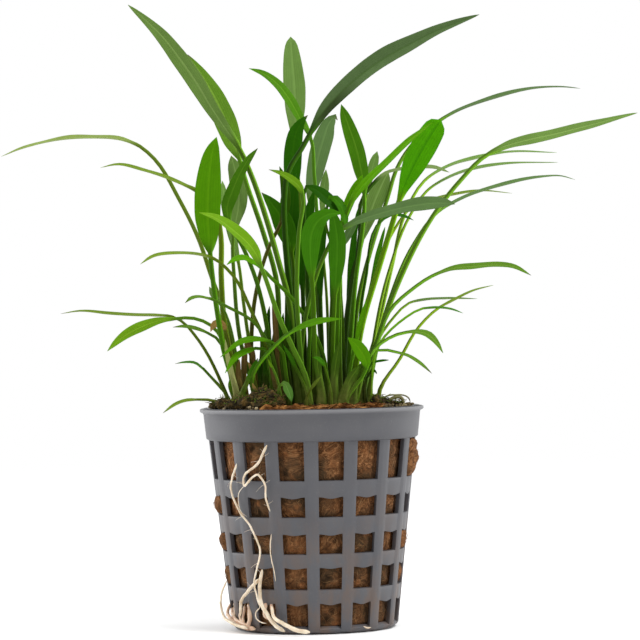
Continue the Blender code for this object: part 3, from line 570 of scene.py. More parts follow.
def grow_leaf(
    name, tint, stalk_wide, foot, tip_behind, face, stalk, blade, fold=0.2, dry_tip=0.0, dark_side=0.0, stands_for=None
):
    """A leaf from its foot (across, behind the axis) through the points of its stalk to those of its blade, which
    carry the blade's width there. It looks towards face; dark_side paints shade over the start of its one half."""
    points = [(foot[0], height_as_seen(FOOT_HEIGHT, foot[1])), *stalk, *[(across, up) for across, up, wide in blade]]
    line = smooth_line(points, 0.4)
    run = np.concatenate([[0], np.cumsum(np.linalg.norm(np.diff(line, axis=0), axis=1))])
    length = run[-1]

    def run_at(point):
        return run[np.argmin(np.linalg.norm(line - np.array(point, float), axis=1))]

    start = run_at(stalk[-1])
    marks = [start] + [run_at((across, up)) for across, up, wide in blade]
    wides = [stalk_wide * 0.8] + [wide for across, up, wide in blade]
    widths = np.interp(run, marks, wides)
    smoothing = np.ones(7) / 7
    widths = np.convolve(np.pad(widths, 3, mode="edge"), smoothing, mode="valid")
    stations = max(4, round(start / STALK_STATION)), max(8, round((length - start) / BLADE_STATION))
    places = np.concatenate([np.linspace(0, start, stations[0] + 1), np.linspace(start, length, stations[1] + 1)[1:]])
    centres = []
    for at in places:
        behind = foot[1] + (tip_behind - foot[1]) * (at / length) ** 1.6
        centres.append(seen_from_front(np.interp(at, run, line[:, 0]), np.interp(at, run, line[:, 1]), behind))
    seed = sum(ord(letter) for letter in name)
    phase = seed % 7
    shade = 0.86 + 0.037 * (seed % 9)
    bm = bmesh.new()
    bmesh.ops.create_grid(bm, x_segments=LEAF_ROUND, y_segments=len(places) - 1, size=0.5)
    layers = {key: bm.verts.layers.float.new(key) for key in ("across", "blade", "under", "foot", "dry", "shade", "painted_shade")}
    last = len(places) - 1
    for vert in bm.verts:
        station = round((vert.co.y + 0.5) * last)
        round_turn = (vert.co.x + 0.5) * math.tau - math.pi / 2
        at, centre = places[station], centres[station]
        along = (centres[min(station + 1, last)] - centres[max(station - 1, 0)]).normalized()
        if station == 0:
            along = Vector((0, 0, 1))
        in_blade = max(0.0, (at - start) / (length - start))
        flat = max(0.0, min(1.0, in_blade / 0.16))
        flat = flat * flat * (3 - 2 * flat)
        swell = 1 + 0.55 * max(0.0, 1 - at / 9) ** 1.5
        thin = stalk_wide * (1 - 0.22 * min(1.0, at / max(start, 1)))
        pointed = min(1.0, (length - at) / 1.4) ** 0.6
        wide = np.interp(at, run, widths) * pointed + 0.08 if in_blade else thin * swell
        side, height = math.cos(round_turn), math.sin(round_turn)
        spread = math.copysign(abs(side) ** 1.5, side)
        lens = (0.12 + 0.3 * (1 - in_blade) * (1 - abs(spread)) ** 2) * max(0.3, pointed)
        groove = (0.14 if height > 0 else 0.2) * (1 - in_blade) * math.exp(-(spread / 0.16) ** 2)
        ripple = math.sin(at / (1.9 + 0.25 * phase) + phase + (1.3 if spread > 0 else 0))
        blade_up = math.copysign(abs(height) ** 0.5, height) * lens / 2 - groove
        blade_up += wide / 2 * (fold * abs(spread) + 0.09 * ripple * spread * spread)
        stem_up = height * thin * swell * 0.44 - (0.12 * thin if height > 0.9 else 0)
        across_by = (1 - flat) * side * wide / 2 + flat * spread * wide / 2
        up_by = (1 - flat) * stem_up + flat * blade_up
        sideways = along.cross(Vector(face)).normalized()
        upper = sideways.cross(along)
        vert.co = centre + sideways * across_by + upper * up_by
        vert[layers["across"]] = spread
        vert[layers["blade"]] = flat
        vert[layers["under"]] = 1.0 if height < -0.01 else 0.0
        vert[layers["foot"]] = max(0.0, 1 - at / 11) ** 1.2
        vert[layers["dry"]] = max(0.0, 1 - (length - at) / dry_tip) if dry_tip else 0.0
        vert[layers["shade"]] = shade
        # Painted shade deep in the tuft: darker near the middle, low down and further back, and over the start of one
        # half where dark_side is set.
        inside = max(0.0, 1 - abs(centre.x + 3) / 18) * max(0.0, min(1.0, (84 - centre.z) / 28))
        inside *= max(0.35, min(1.25, (centre.y + 17) / 12))
        half_shade = dark_side * max(0.0, 1 - in_blade / 0.36) * max(0.0, min(1.0, (spread + 0.1) * 5)) * flat
        vert[layers["painted_shade"]] = min(1.0, max(1.3 * inside, half_shade))
    bmesh.ops.remove_doubles(bm, verts=bm.verts, dist=0.004)
    bmesh.ops.contextual_create(bm, geom=[edge for edge in bm.edges if edge.is_boundary and edge.calc_length() < 3])
    bmesh.ops.recalc_face_normals(bm, faces=bm.faces)
    leaf = add_piece(name, bm, leaf_material(tint), stands_for, crease=180)


LEFT_LEAVES = {
    "leaf_lowest_left": (OLIVE, 0.8, (-18.0, -7.5), -14, (0, -0.5, 1),
        [(-20.4, 52.0), (-22.9, 52.9), (-26.5, 53.2)], [(-28.5, 53.1, 1.3), (-31.5, 52.2, 1.4), (-34.6, 50.2, 0.2)], 0.2, 1.0),
    "leaf_low_left_dark": (MID, 0.9, (-18.5, -3.5), -9, (0, -0.4, 1),
        [(-19.7, 54.2), (-22.8, 57.8), (-25.0, 60.3)],
        [(-26.8, 61.7, 1.3), (-29.1, 61.9, 1.2), (-31.6, 61.6, 0.2)], 0.2, 1.4),
    "leaf_small_left": (LEAFY, 0.9, (-17.5, 0.0), -4, (0, -0.7, 1),
        [(-20.0, 63.5), (-21.2, 66.8), (-24.0, 68.7)],
        [(-26.0, 69.5, 1.5), (-29.4, 70.2, 1.3), (-32.0, 70.1, 0.2)], 0.2, 0.9),
    "leaf_left_drooping": (LIGHT, 1.0, (-16.0, -5.0), -12, (0.1, -1.1, 1),
        [(-19.3, 62.0), (-20.5, 67.0), (-22.6, 70.0), (-27.6, 72.2), (-31.2, 72.1)],
        [(-35.8, 71.5, 2.2), (-39.4, 70.2, 3.0), (-43.1, 68.3, 2.5), (-45.6, 66.4, 1.5), (-47.3, 64.8, 0.2)]),
    "leaf_far_left_wavy": (OLIVE, 0.9, (-18.5, 5.0), 15, (0, -0.3, 1),
        [(-21.8, 59.1), (-24.0, 63.7), (-26.7, 67.9), (-29.9, 71.5), (-32.1, 72.6)],
        [(-36.0, 73.0, 1.7), (-40.3, 73.1, 2.2), (-46.7, 73.5, 2.0), (-53.9, 74.2, 1.2), (-58.0, 73.7, 0.2)], 0.2, 1.6),
    "leaf_left_long_arch": (PALE_OLIVE, 1.2, (-15.5, 9.5), 24, (0, -0.35, 1),
        [(-20.6, 75.4), (-22.6, 81.2), (-25.6, 90.5), (-29.9, 99.7), (-36.1, 109.9), (-39.0, 112.4)],
        [(-42.0, 113.7, 2.0), (-50.3, 114.6, 3.2), (-60.2, 113.8, 3.0), (-66.6, 112.2, 2.0), (-71.2, 110.5, 0.3)]),
    "leaf_left_small_arch": (OLIVE, 1.5, (-16.5, 2.8), 10, (0, -0.35, 1),
        [(-18.3, 61.0), (-19.9, 70.0), (-20.5, 82.0), (-20.5, 92.0), (-22.0, 98.5), (-26.2, 102.0)],
        [(-29.4, 103.5, 1.6), (-37.1, 106.4, 2.2), (-44.7, 108.1, 1.6), (-48.2, 107.5, 0.3)]),
    "leaf_broad_left": (BRIGHT, 1.4, (-15.6, -8.4), -20, (0, -1, 0.1),
        [(-20.2, 64.7), (-21.3, 71.6), (-22.6, 82.5), (-23.0, 87.5)],
        [(-23.1, 89.0, 2.6), (-23.2, 91.0, 4.2), (-23.4, 95.5, 5.8), (-23.2, 101.5, 6.0), (-22.8, 106.0, 5.2),
         (-22.2, 110.0, 3.9), (-21.5, 112.6, 2.1), (-21.0, 114.2, 0.3)]),
    "leaf_left_pointing_right": (LUSH, 1.2, (-9.8, -4.3), -16, (0.5, -1, 0.3),
        [(-9.8, 67.5), (-10.6, 73.0), (-12.8, 82.0), (-15.6, 89.0), (-18.4, 94.2)],
        [(-18.9, 97.5, 3.0), (-17.6, 101.5, 3.3), (-15.8, 105.5, 2.4), (-13.7, 108.9, 1.5), (-11.5, 111.4, 0.3)], 0.2, 1.1),
    "leaf_grey_back_left": (SILVER, 1.1, (-12.0, 5.5), 21, (0.2, -1, 0.1),
        [(-16.4, 67.3), (-17.5, 81.5), (-17.6, 90.5)],
        [(-17.0, 94.0, 1.8), (-16.2, 98.0, 3.8), (-16.2, 102.5, 4.3), (-17.0, 107.0, 3.4), (-17.7, 109.8, 0.8)]),
    "leaf_pale_left": (PALE, 1.0, (-10.5, 12.0), 27, (0.3, -1, 0),
        [(-14.1, 65.5), (-15.4, 75.3), (-16.4, 84.7)], [(-18.0, 92.0, 2.4), (-19.3, 99.0, 2.4), (-19.9, 104.0, 0.6)]),
    "leaf_left_mid_arch": (OLIVE, 1.1, (-8.5, -6.0), -21, (0, -0.3, 1),
        [(-10.5, 66.0), (-13.6, 73.5), (-17.9, 82.1), (-22.8, 86.3)],
        [(-25.5, 87.0, 1.8), (-30.9, 87.3, 2.4), (-36.4, 86.5, 1.8), (-39.3, 84.9, 0.2)]),
    "leaf_left_short_arch": (LEAFY, 1.0, (-7.0, -9.5), -25, (0, -0.4, 1),
        [(-10.5, 67.3), (-13.1, 71.0), (-18.9, 74.5), (-23.0, 76.6)],
        [(-25.6, 77.1, 1.8), (-27.4, 76.8, 1.6), (-29.0, 75.7, 0.2)], 0.2, 0.9),
    "leaf_small_droop_left": (BRIGHT, 1.0, (-9.5, -10.5), -20, (0, -1, 1),
        [(-9.5, 61.0), (-10.6, 64.6), (-12.6, 64.9)], [(-14.4, 64.4, 1.8), (-16.8, 63.4, 1.9), (-20.0, 59.2, 0.2)]),
    "leaf_small_droop_right": (BRIGHT, 1.0, (-5.0, -11.0), -20, (0, -1, 1),
        [(-6.0, 60.0), (-6.8, 64.5), (-9.7, 66.5)], [(-12.6, 67.0, 1.8), (-15.2, 66.7, 1.9), (-21.1, 62.9, 0.2)]),
    "leaf_crossing": (BRIGHT, 1.1, (-11.5, -11.2), -30, (0, -1, 0.6),
        [(-13.9, 57.3), (-9.1, 64.6), (-4.3, 68.6)],
        [(-1.7, 69.8, 1.8), (1.3, 70.7, 2.0), (4.8, 71.2, 1.2), (7.4, 71.4, 0.2)]),
    "leaf_front_left_arching": (LIGHT, 1.3, (-0.3, -14.0), -38, (0, -1.2, 1),
        [(-1.1, 57.4), (-4.4, 65.4), (-7.2, 71.9), (-10.3, 81.4), (-11.5, 84.6)],
        [(-12.3, 86.6, 3.0), (-14.5, 89.6, 4.0), (-17.5, 92.3, 4.0), (-21.4, 95.2, 2.6), (-25.4, 96.7, 0.3)]),
    "leaf_hooked_left": (BRIGHT, 1.1, (3.5, -5.5), -19, (0, -0.9, 1),
        [(2.9, 62.9), (1.5, 66.8), (-1.6, 72.7), (-5.4, 77.8), (-8.8, 81.1), (-11.7, 84.0)],
        [(-13.5, 85.0, 1.9), (-15.2, 85.9, 2.4), (-17.2, 85.6, 1.9), (-19.2, 84.4, 0.2)]),
    "leaf_brown_stalk": (BROWN_STALK, 1.1, (-13.2, 2.0), -7, (0.4, -1, 0),
        [(-13.8, 65.6), (-12.7, 76.7), (-9.0, 89.0), (-6.3, 94.2)],
        [(-5.4, 97.4, 2.2), (-5.3, 101.0, 2.4), (-5.7, 104.3, 1.8), (-6.5, 107.1, 0.3)]),
}
for leaf_name, leaf_form in LEFT_LEAVES.items():
    grow_leaf(leaf_name + "_grown", *leaf_form, stands_for=leaf_name)

# The middle leaves. The two great leaves that rise to the left and the one to the right have long lance-shaped
# blades, partly folded along the midrib, and shorter dark ones fill the space between them.
MIDDLE_LEAVES = {
    "leaf_great_left": (SILVER, 1.5, (-5.8, -3.6), -18, (-0.35, -1, 0.3),
        [(-4.7, 75.0), (-7.0, 84.6), (-9.7, 94.7), (-13.4, 106.0), (-15.8, 111.5)],
        [(-19.5, 117.0, 2.5), (-22.0, 120.9, 3.1), (-25.4, 126.8, 3.9), (-29.3, 132.6, 3.9), (-33.4, 138.0, 3.0),
         (-37.6, 142.2, 1.6), (-41.1, 145.3, 0.3)]),
    "leaf_great_left_back": (LEAFY, 1.4, (-7.0, 7.5), 24, (-0.2, -1, 0.1),
        [(-7.3, 67.0), (-7.7, 80.8), (-10.6, 91.9), (-14.4, 103.8), (-15.8, 109.0)],
        [(-17.2, 113.0, 4.3), (-18.7, 117.5, 5.4), (-21.3, 123.5, 4.7), (-24.4, 129.0, 2.8), (-27.4, 133.5, 0.3)], 0.2, 1.6),
    "leaf_great_right": (GREY_DARK_STALK, 1.5, (-2.6, -0.4), -24, (-0.3, -1, 0.5),
        [(-4.3, 75.0), (-5.4, 90.0), (-5.5, 99.0), (-4.4, 106.0), (-1.2, 111.2), (1.0, 115.0)],
        [(3.6, 119.0, 2.9), (6.9, 122.8, 4.0), (10.5, 126.1, 4.7), (14.4, 129.1, 4.9), (19.2, 132.2, 4.7),
         (24.3, 134.9, 4.0), (30.0, 137.7, 2.9), (35.5, 139.8, 1.8), (40.6, 141.6, 0.3)], 0.3, 0, 2.0),
    "leaf_dark_centre_left": (DARK, 1.2, (-3.0, 4.0), 8, (0, -1, 0),
        [(-3.5, 78.0), (-3.6, 99.0)],
        [(-3.6, 102.5, 2.8), (-3.5, 106.5, 4.1), (-3.2, 111.0, 4.2), (-2.4, 115.2, 3.4), (-1.0, 117.6, 1.6),
         (0.3, 118.9, 0.3)], 0.2, 1.0),
    "leaf_tall_back": (PALE, 1.2, (1.0, 13.5), 42, (0, -1, 0),
        [(-1.0, 85.0), (-2.5, 111.0)],
        [(-2.6, 115.5, 2.8), (-2.6, 120.0, 4.8), (-2.7, 125.5, 5.4), (-3.0, 130.0, 4.7), (-3.2, 133.5, 3.7),
         (-3.3, 136.0, 2.5), (-3.4, 137.2, 1.6)]),
    "leaf_curved_top": (LUSH, 1.1, (2.5, 6.5), 22, (0.2, -1, 0.6),
        [(2.4, 80.0), (1.5, 105.0), (0.7, 114.1)],
        [(-1.5, 118.1, 2.2), (-3.8, 122.4, 2.8), (-6.6, 126.2, 2.4), (-10.2, 128.9, 1.5), (-13.2, 130.0, 0.3)]),
    "leaf_grey_centre_right": (GREY, 1.2, (3.5, 10.5), 31, (0, -1, 0),
        [(1.5, 80.0), (0.4, 98.5)],
        [(0.8, 101.5, 2.6), (1.6, 105.0, 4.0), (2.8, 110.0, 4.7), (4.1, 114.0, 4.5), (5.6, 117.5, 2.6),
         (6.9, 118.5, 1.0), (7.2, 117.6, 0.3)], 0.2, 1.4),
    "leaf_centre_pointing_left": (LIGHT, 1.2, (-1.5, -11.0), -24, (0, -1, 0.8),
        [(-2.9, 81.6), (-2.2, 92.1), (-1.3, 100.6)],
        [(-1.9, 102.2, 2.0), (-3.8, 103.9, 2.3), (-6.0, 105.3, 1.5), (-9.0, 106.4, 0.2)], 0.2, 1.2),
    "leaf_front_centre": (MID, 1.3, (0.8, -11.5), -30, (0.2, -1, 0.3),
        [(0.9, 66.0), (0.75, 78.0), (0.6, 81.0)],
        [(0.4, 84.0, 2.8), (0.3, 87.5, 4.0), (0.6, 91.1, 4.7), (2.2, 94.2, 4.4), (4.9, 95.8, 2.5), (8.0, 95.9, 0.3)]),
    "leaf_dark_centre_pointed": (MID, 1.2, (-5.4, 1.4), -2, (0, -1, 0),
        [(-4.3, 70.0), (-3.7, 84.0), (-4.0, 87.0)],
        [(-4.4, 89.4, 3.2), (-5.5, 93.0, 4.9), (-6.9, 96.2, 4.2), (-8.8, 98.9, 2.2), (-10.8, 101.1, 0.3)], 0.2, 1.0),
    "leaf_dark_twisted": (DARK, 1.1, (0.3, 1.5), -12, (0, -1, 0.5),
        [(-0.4, 80.0), (-0.9, 97.0), (-0.3, 102.3)],
        [(1.8, 101.6, 2.2), (4.1, 99.7, 3.2), (6.0, 97.8, 2.4), (7.4, 95.7, 0.3)]),
    "leaf_dark_centre_right": (MID, 1.2, (4.6, -9.0), -23, (0, -1, 0),
        [(5.2, 66.0), (5.9, 77.0)],
        [(6.2, 81.0, 2.6), (6.5, 85.5, 3.9), (6.6, 90.5, 3.8), (6.0, 94.6, 2.4), (5.0, 97.6, 0.3)]),
    "leaf_grey_long_right": (GREY, 1.2, (-3.2, -7.6), -29, (0, -1.7, 1),
        [(-1.0, 72.0), (0.5, 78.0), (2.9, 84.7), (7.5, 92.0)],
        [(10.6, 93.7, 1.9), (15.0, 95.2, 2.6), (20.8, 96.7, 3.2), (26.2, 97.6, 3.7), (30.6, 97.9, 3.2),
         (32.8, 97.8, 1.8), (34.2, 97.6, 0.3)]),
    "leaf_bright_stripe": (BRIGHT, 1.1, (5.6, -2.8), -24, (0.2, -1, 0.8),
        [(7.0, 80.0), (8.4, 94.0), (9.6, 97.6)],
        [(12.0, 101.3, 2.0), (15.0, 104.5, 2.0), (18.0, 107.2, 1.9), (24.0, 112.7, 1.6), (29.2, 116.7, 0.3)]),
    "leaf_right_of_centre": (LUSH, 1.2, (8.0, -0.6), -8, (-0.3, -1, 0),
        [(10.5, 78.0), (13.1, 100.5)],
        [(13.0, 103.0, 2.4), (12.5, 106.0, 3.5), (11.6, 110.5, 3.9), (10.2, 115.0, 3.4), (9.0, 118.5, 2.4),
         (8.1, 121.3, 0.4)]),
}
for leaf_name, leaf_form in MIDDLE_LEAVES.items():
    grow_leaf(leaf_name + "_grown", *leaf_form, stands_for=leaf_name)

# The right-hand leaves. Most are long thin ones that lean out in one sheaf and show their blades almost edge on.
RIGHT_LEAVES = {
    "leaf_grey_right_blade": (SILVER, 1.1, (6.4, 8.4), 18, (0.2, -1, 0.3),
        [(9.0, 72.0), (12.6, 90.0)],
        [(13.6, 93.5, 2.6), (15.0, 97.4, 4.2), (16.8, 101.5, 4.1), (18.2, 104.3, 2.6), (18.8, 105.4, 1.0)]),
    "leaf_dark_arch": (PALE_DARK_STALK, 1.2, (7.2, 3.6), 12, (0, -0.75, 1),
        [(8.5, 70.0), (10.0, 80.8), (11.9, 90.4), (12.3, 98.3), (15.6, 103.1)],
        [(18.0, 105.0, 1.2), (21.6, 105.9, 1.3), (25.3, 106.3, 1.3), (29.8, 106.2, 1.6), (33.0, 105.0, 0.7)]),
    "leaf_broad_right": (FRESH, 1.6, (9.4, -4.6), -17, (0, -1, 0.1),
        [(11.9, 69.3), (16.1, 82.8), (19.8, 94.2), (21.2, 98.6)],
        [(22.0, 100.8, 1.8), (23.2, 103.6, 3.6), (25.0, 107.3, 5.4), (27.2, 111.2, 5.9), (29.2, 114.4, 5.4),
         (30.6, 116.4, 4.6), (31.3, 117.3, 3.2)]),
    "leaf_long_grey_arch": (GREY, 1.2, (9.2, 7.2), 30, (0, -0.25, 1),
        [(11.7, 77.5), (14.7, 88.2), (18.9, 100.5), (20.5, 105.5), (25.5, 112.8), (30.9, 117.1)],
        [(33.9, 118.8, 1.8), (43.9, 122.2, 3.0), (53.8, 124.3, 2.6), (60.0, 124.4, 1.4), (63.8, 124.0, 0.3)]),
    "leaf_right_long_blade": (SILVER, 1.3, (11.6, -3.0), -14, (0, -1.2, 1),
        [(15.8, 66.7), (21.0, 80.2), (29.9, 96.2), (35.1, 102.6), (42.1, 109.1)],
        [(46.1, 110.8, 2.3), (52.0, 112.3, 3.1), (58.0, 113.5, 3.1), (65.5, 115.3, 2.4), (72.0, 116.9, 1.4),
         (77.0, 118.1, 0.3)]),
    "leaf_thin_right_upper": (PALE, 1.0, (9.6, 11.2), 28, (0, -0.3, 1),
        [(15.8, 69.5), (19.3, 83.5), (22.7, 96.0), (27.2, 103.2)],
        [(33.7, 106.9, 1.8), (38.7, 108.1, 2.4), (45.6, 109.4, 2.0), (58.1, 109.2, 0.3)]),
    "leaf_thin_right_lower": (PALE, 0.9, (12.0, 8.4), 17, (0, -0.3, 1),
        [(18.5, 82.1), (23.2, 94.3), (27.7, 100.8)],
        [(34.7, 104.7, 1.6), (40.0, 106.0, 2.0), (46.1, 106.8, 1.7), (58.3, 106.9, 0.2)]),
    "leaf_grey_right": (GREY, 1.0, (12.6, 0.4), 2, (0, -0.35, 1),
        [(18.0, 74.0), (24.4, 88.5), (30.1, 95.8)],
        [(36.1, 99.1, 1.9), (46.0, 102.0, 2.4), (54.4, 103.6, 1.6), (59.0, 103.7, 0.9), (62.2, 102.8, 0.2)]),
    "leaf_thin_pale": (OLIVE, 0.9, (7.6, 14.2), 34, (0, -0.3, 1),
        [(15.0, 80.0), (20.0, 92.0), (24.0, 97.0)],
        [(29.0, 98.9, 1.2), (33.6, 99.8, 1.7), (40.5, 100.6, 1.5), (47.5, 99.9, 0.2)]),
    "leaf_right_arch": (LEAFY, 1.1, (11.0, -8.0), -30, (0, -0.7, 1),
        [(15.8, 66.7), (18.8, 73.4), (23.9, 78.0), (28.6, 81.0)],
        [(33.7, 82.6, 2.2), (38.4, 83.0, 2.8), (43.5, 83.2, 2.5), (47.8, 82.7, 1.5), (51.6, 80.7, 0.2)], 0.2, 1.0),
    "leaf_thin_low_upper": (PALE, 0.8, (13.6, 5.2), 10, (0, -0.35, 1),
        [(15.4, 65.6), (19.1, 71.1), (23.1, 74.8)], [(27.0, 75.6, 1.3), (32.0, 75.7, 1.3), (39.0, 75.5, 0.2)]),
    "leaf_thin_low": (MID, 0.8, (13.2, -11.2), -27, (0, -0.3, 1),
        [(16.9, 66.7), (21.2, 70.7), (26.3, 73.5)], [(29.5, 73.7, 1.3), (32.4, 73.3, 1.1), (35.6, 72.2, 0.2)]),
    "leaf_separate_right": (OLIVE, 0.9, (15.4, -2.6), -7, (0, -0.4, 1),
        [(15.7, 53.9), (20.7, 61.8), (25.1, 69.0), (30.2, 73.7)],
        [(33.8, 75.5, 1.3), (38.0, 77.4, 1.2), (42.8, 78.6, 0.2)]),
    "leaf_right_drooping": (LEAFY, 1.0, (9.6, -12.6), -32, (0, -1, 1),
        [(15.8, 65.1), (20.1, 67.5), (22.4, 68.0)],
        [(24.8, 68.0, 1.6), (27.2, 67.4, 2.0), (29.2, 65.6, 1.3), (30.8, 63.0, 0.2)]),
    "leaf_right_lowest": (LEAFY, 0.9, (13.4, -5.4), -12, (0, -0.5, 1),
        [(14.0, 60.0), (15.4, 63.8), (20.0, 63.4)],
        [(22.0, 62.8, 1.3), (25.0, 61.0, 1.3), (28.1, 58.3, 0.2)], 0.2, 2.4),
    "leaf_oval_front_right": (BRIGHT, 1.0, (6.6, -15.0), -21, (0, -1, 0),
        [(9.6, 55.0), (11.8, 57.6), (12.9, 59.6)],
        [(12.9, 61.2, 2.4), (12.0, 63.3, 3.2), (10.6, 65.3, 2.7), (8.7, 67.0, 0.4)]),
}
for leaf_name, leaf_form in RIGHT_LEAVES.items():
    grow_leaf(leaf_name + "_grown", *leaf_form, stands_for=leaf_name)

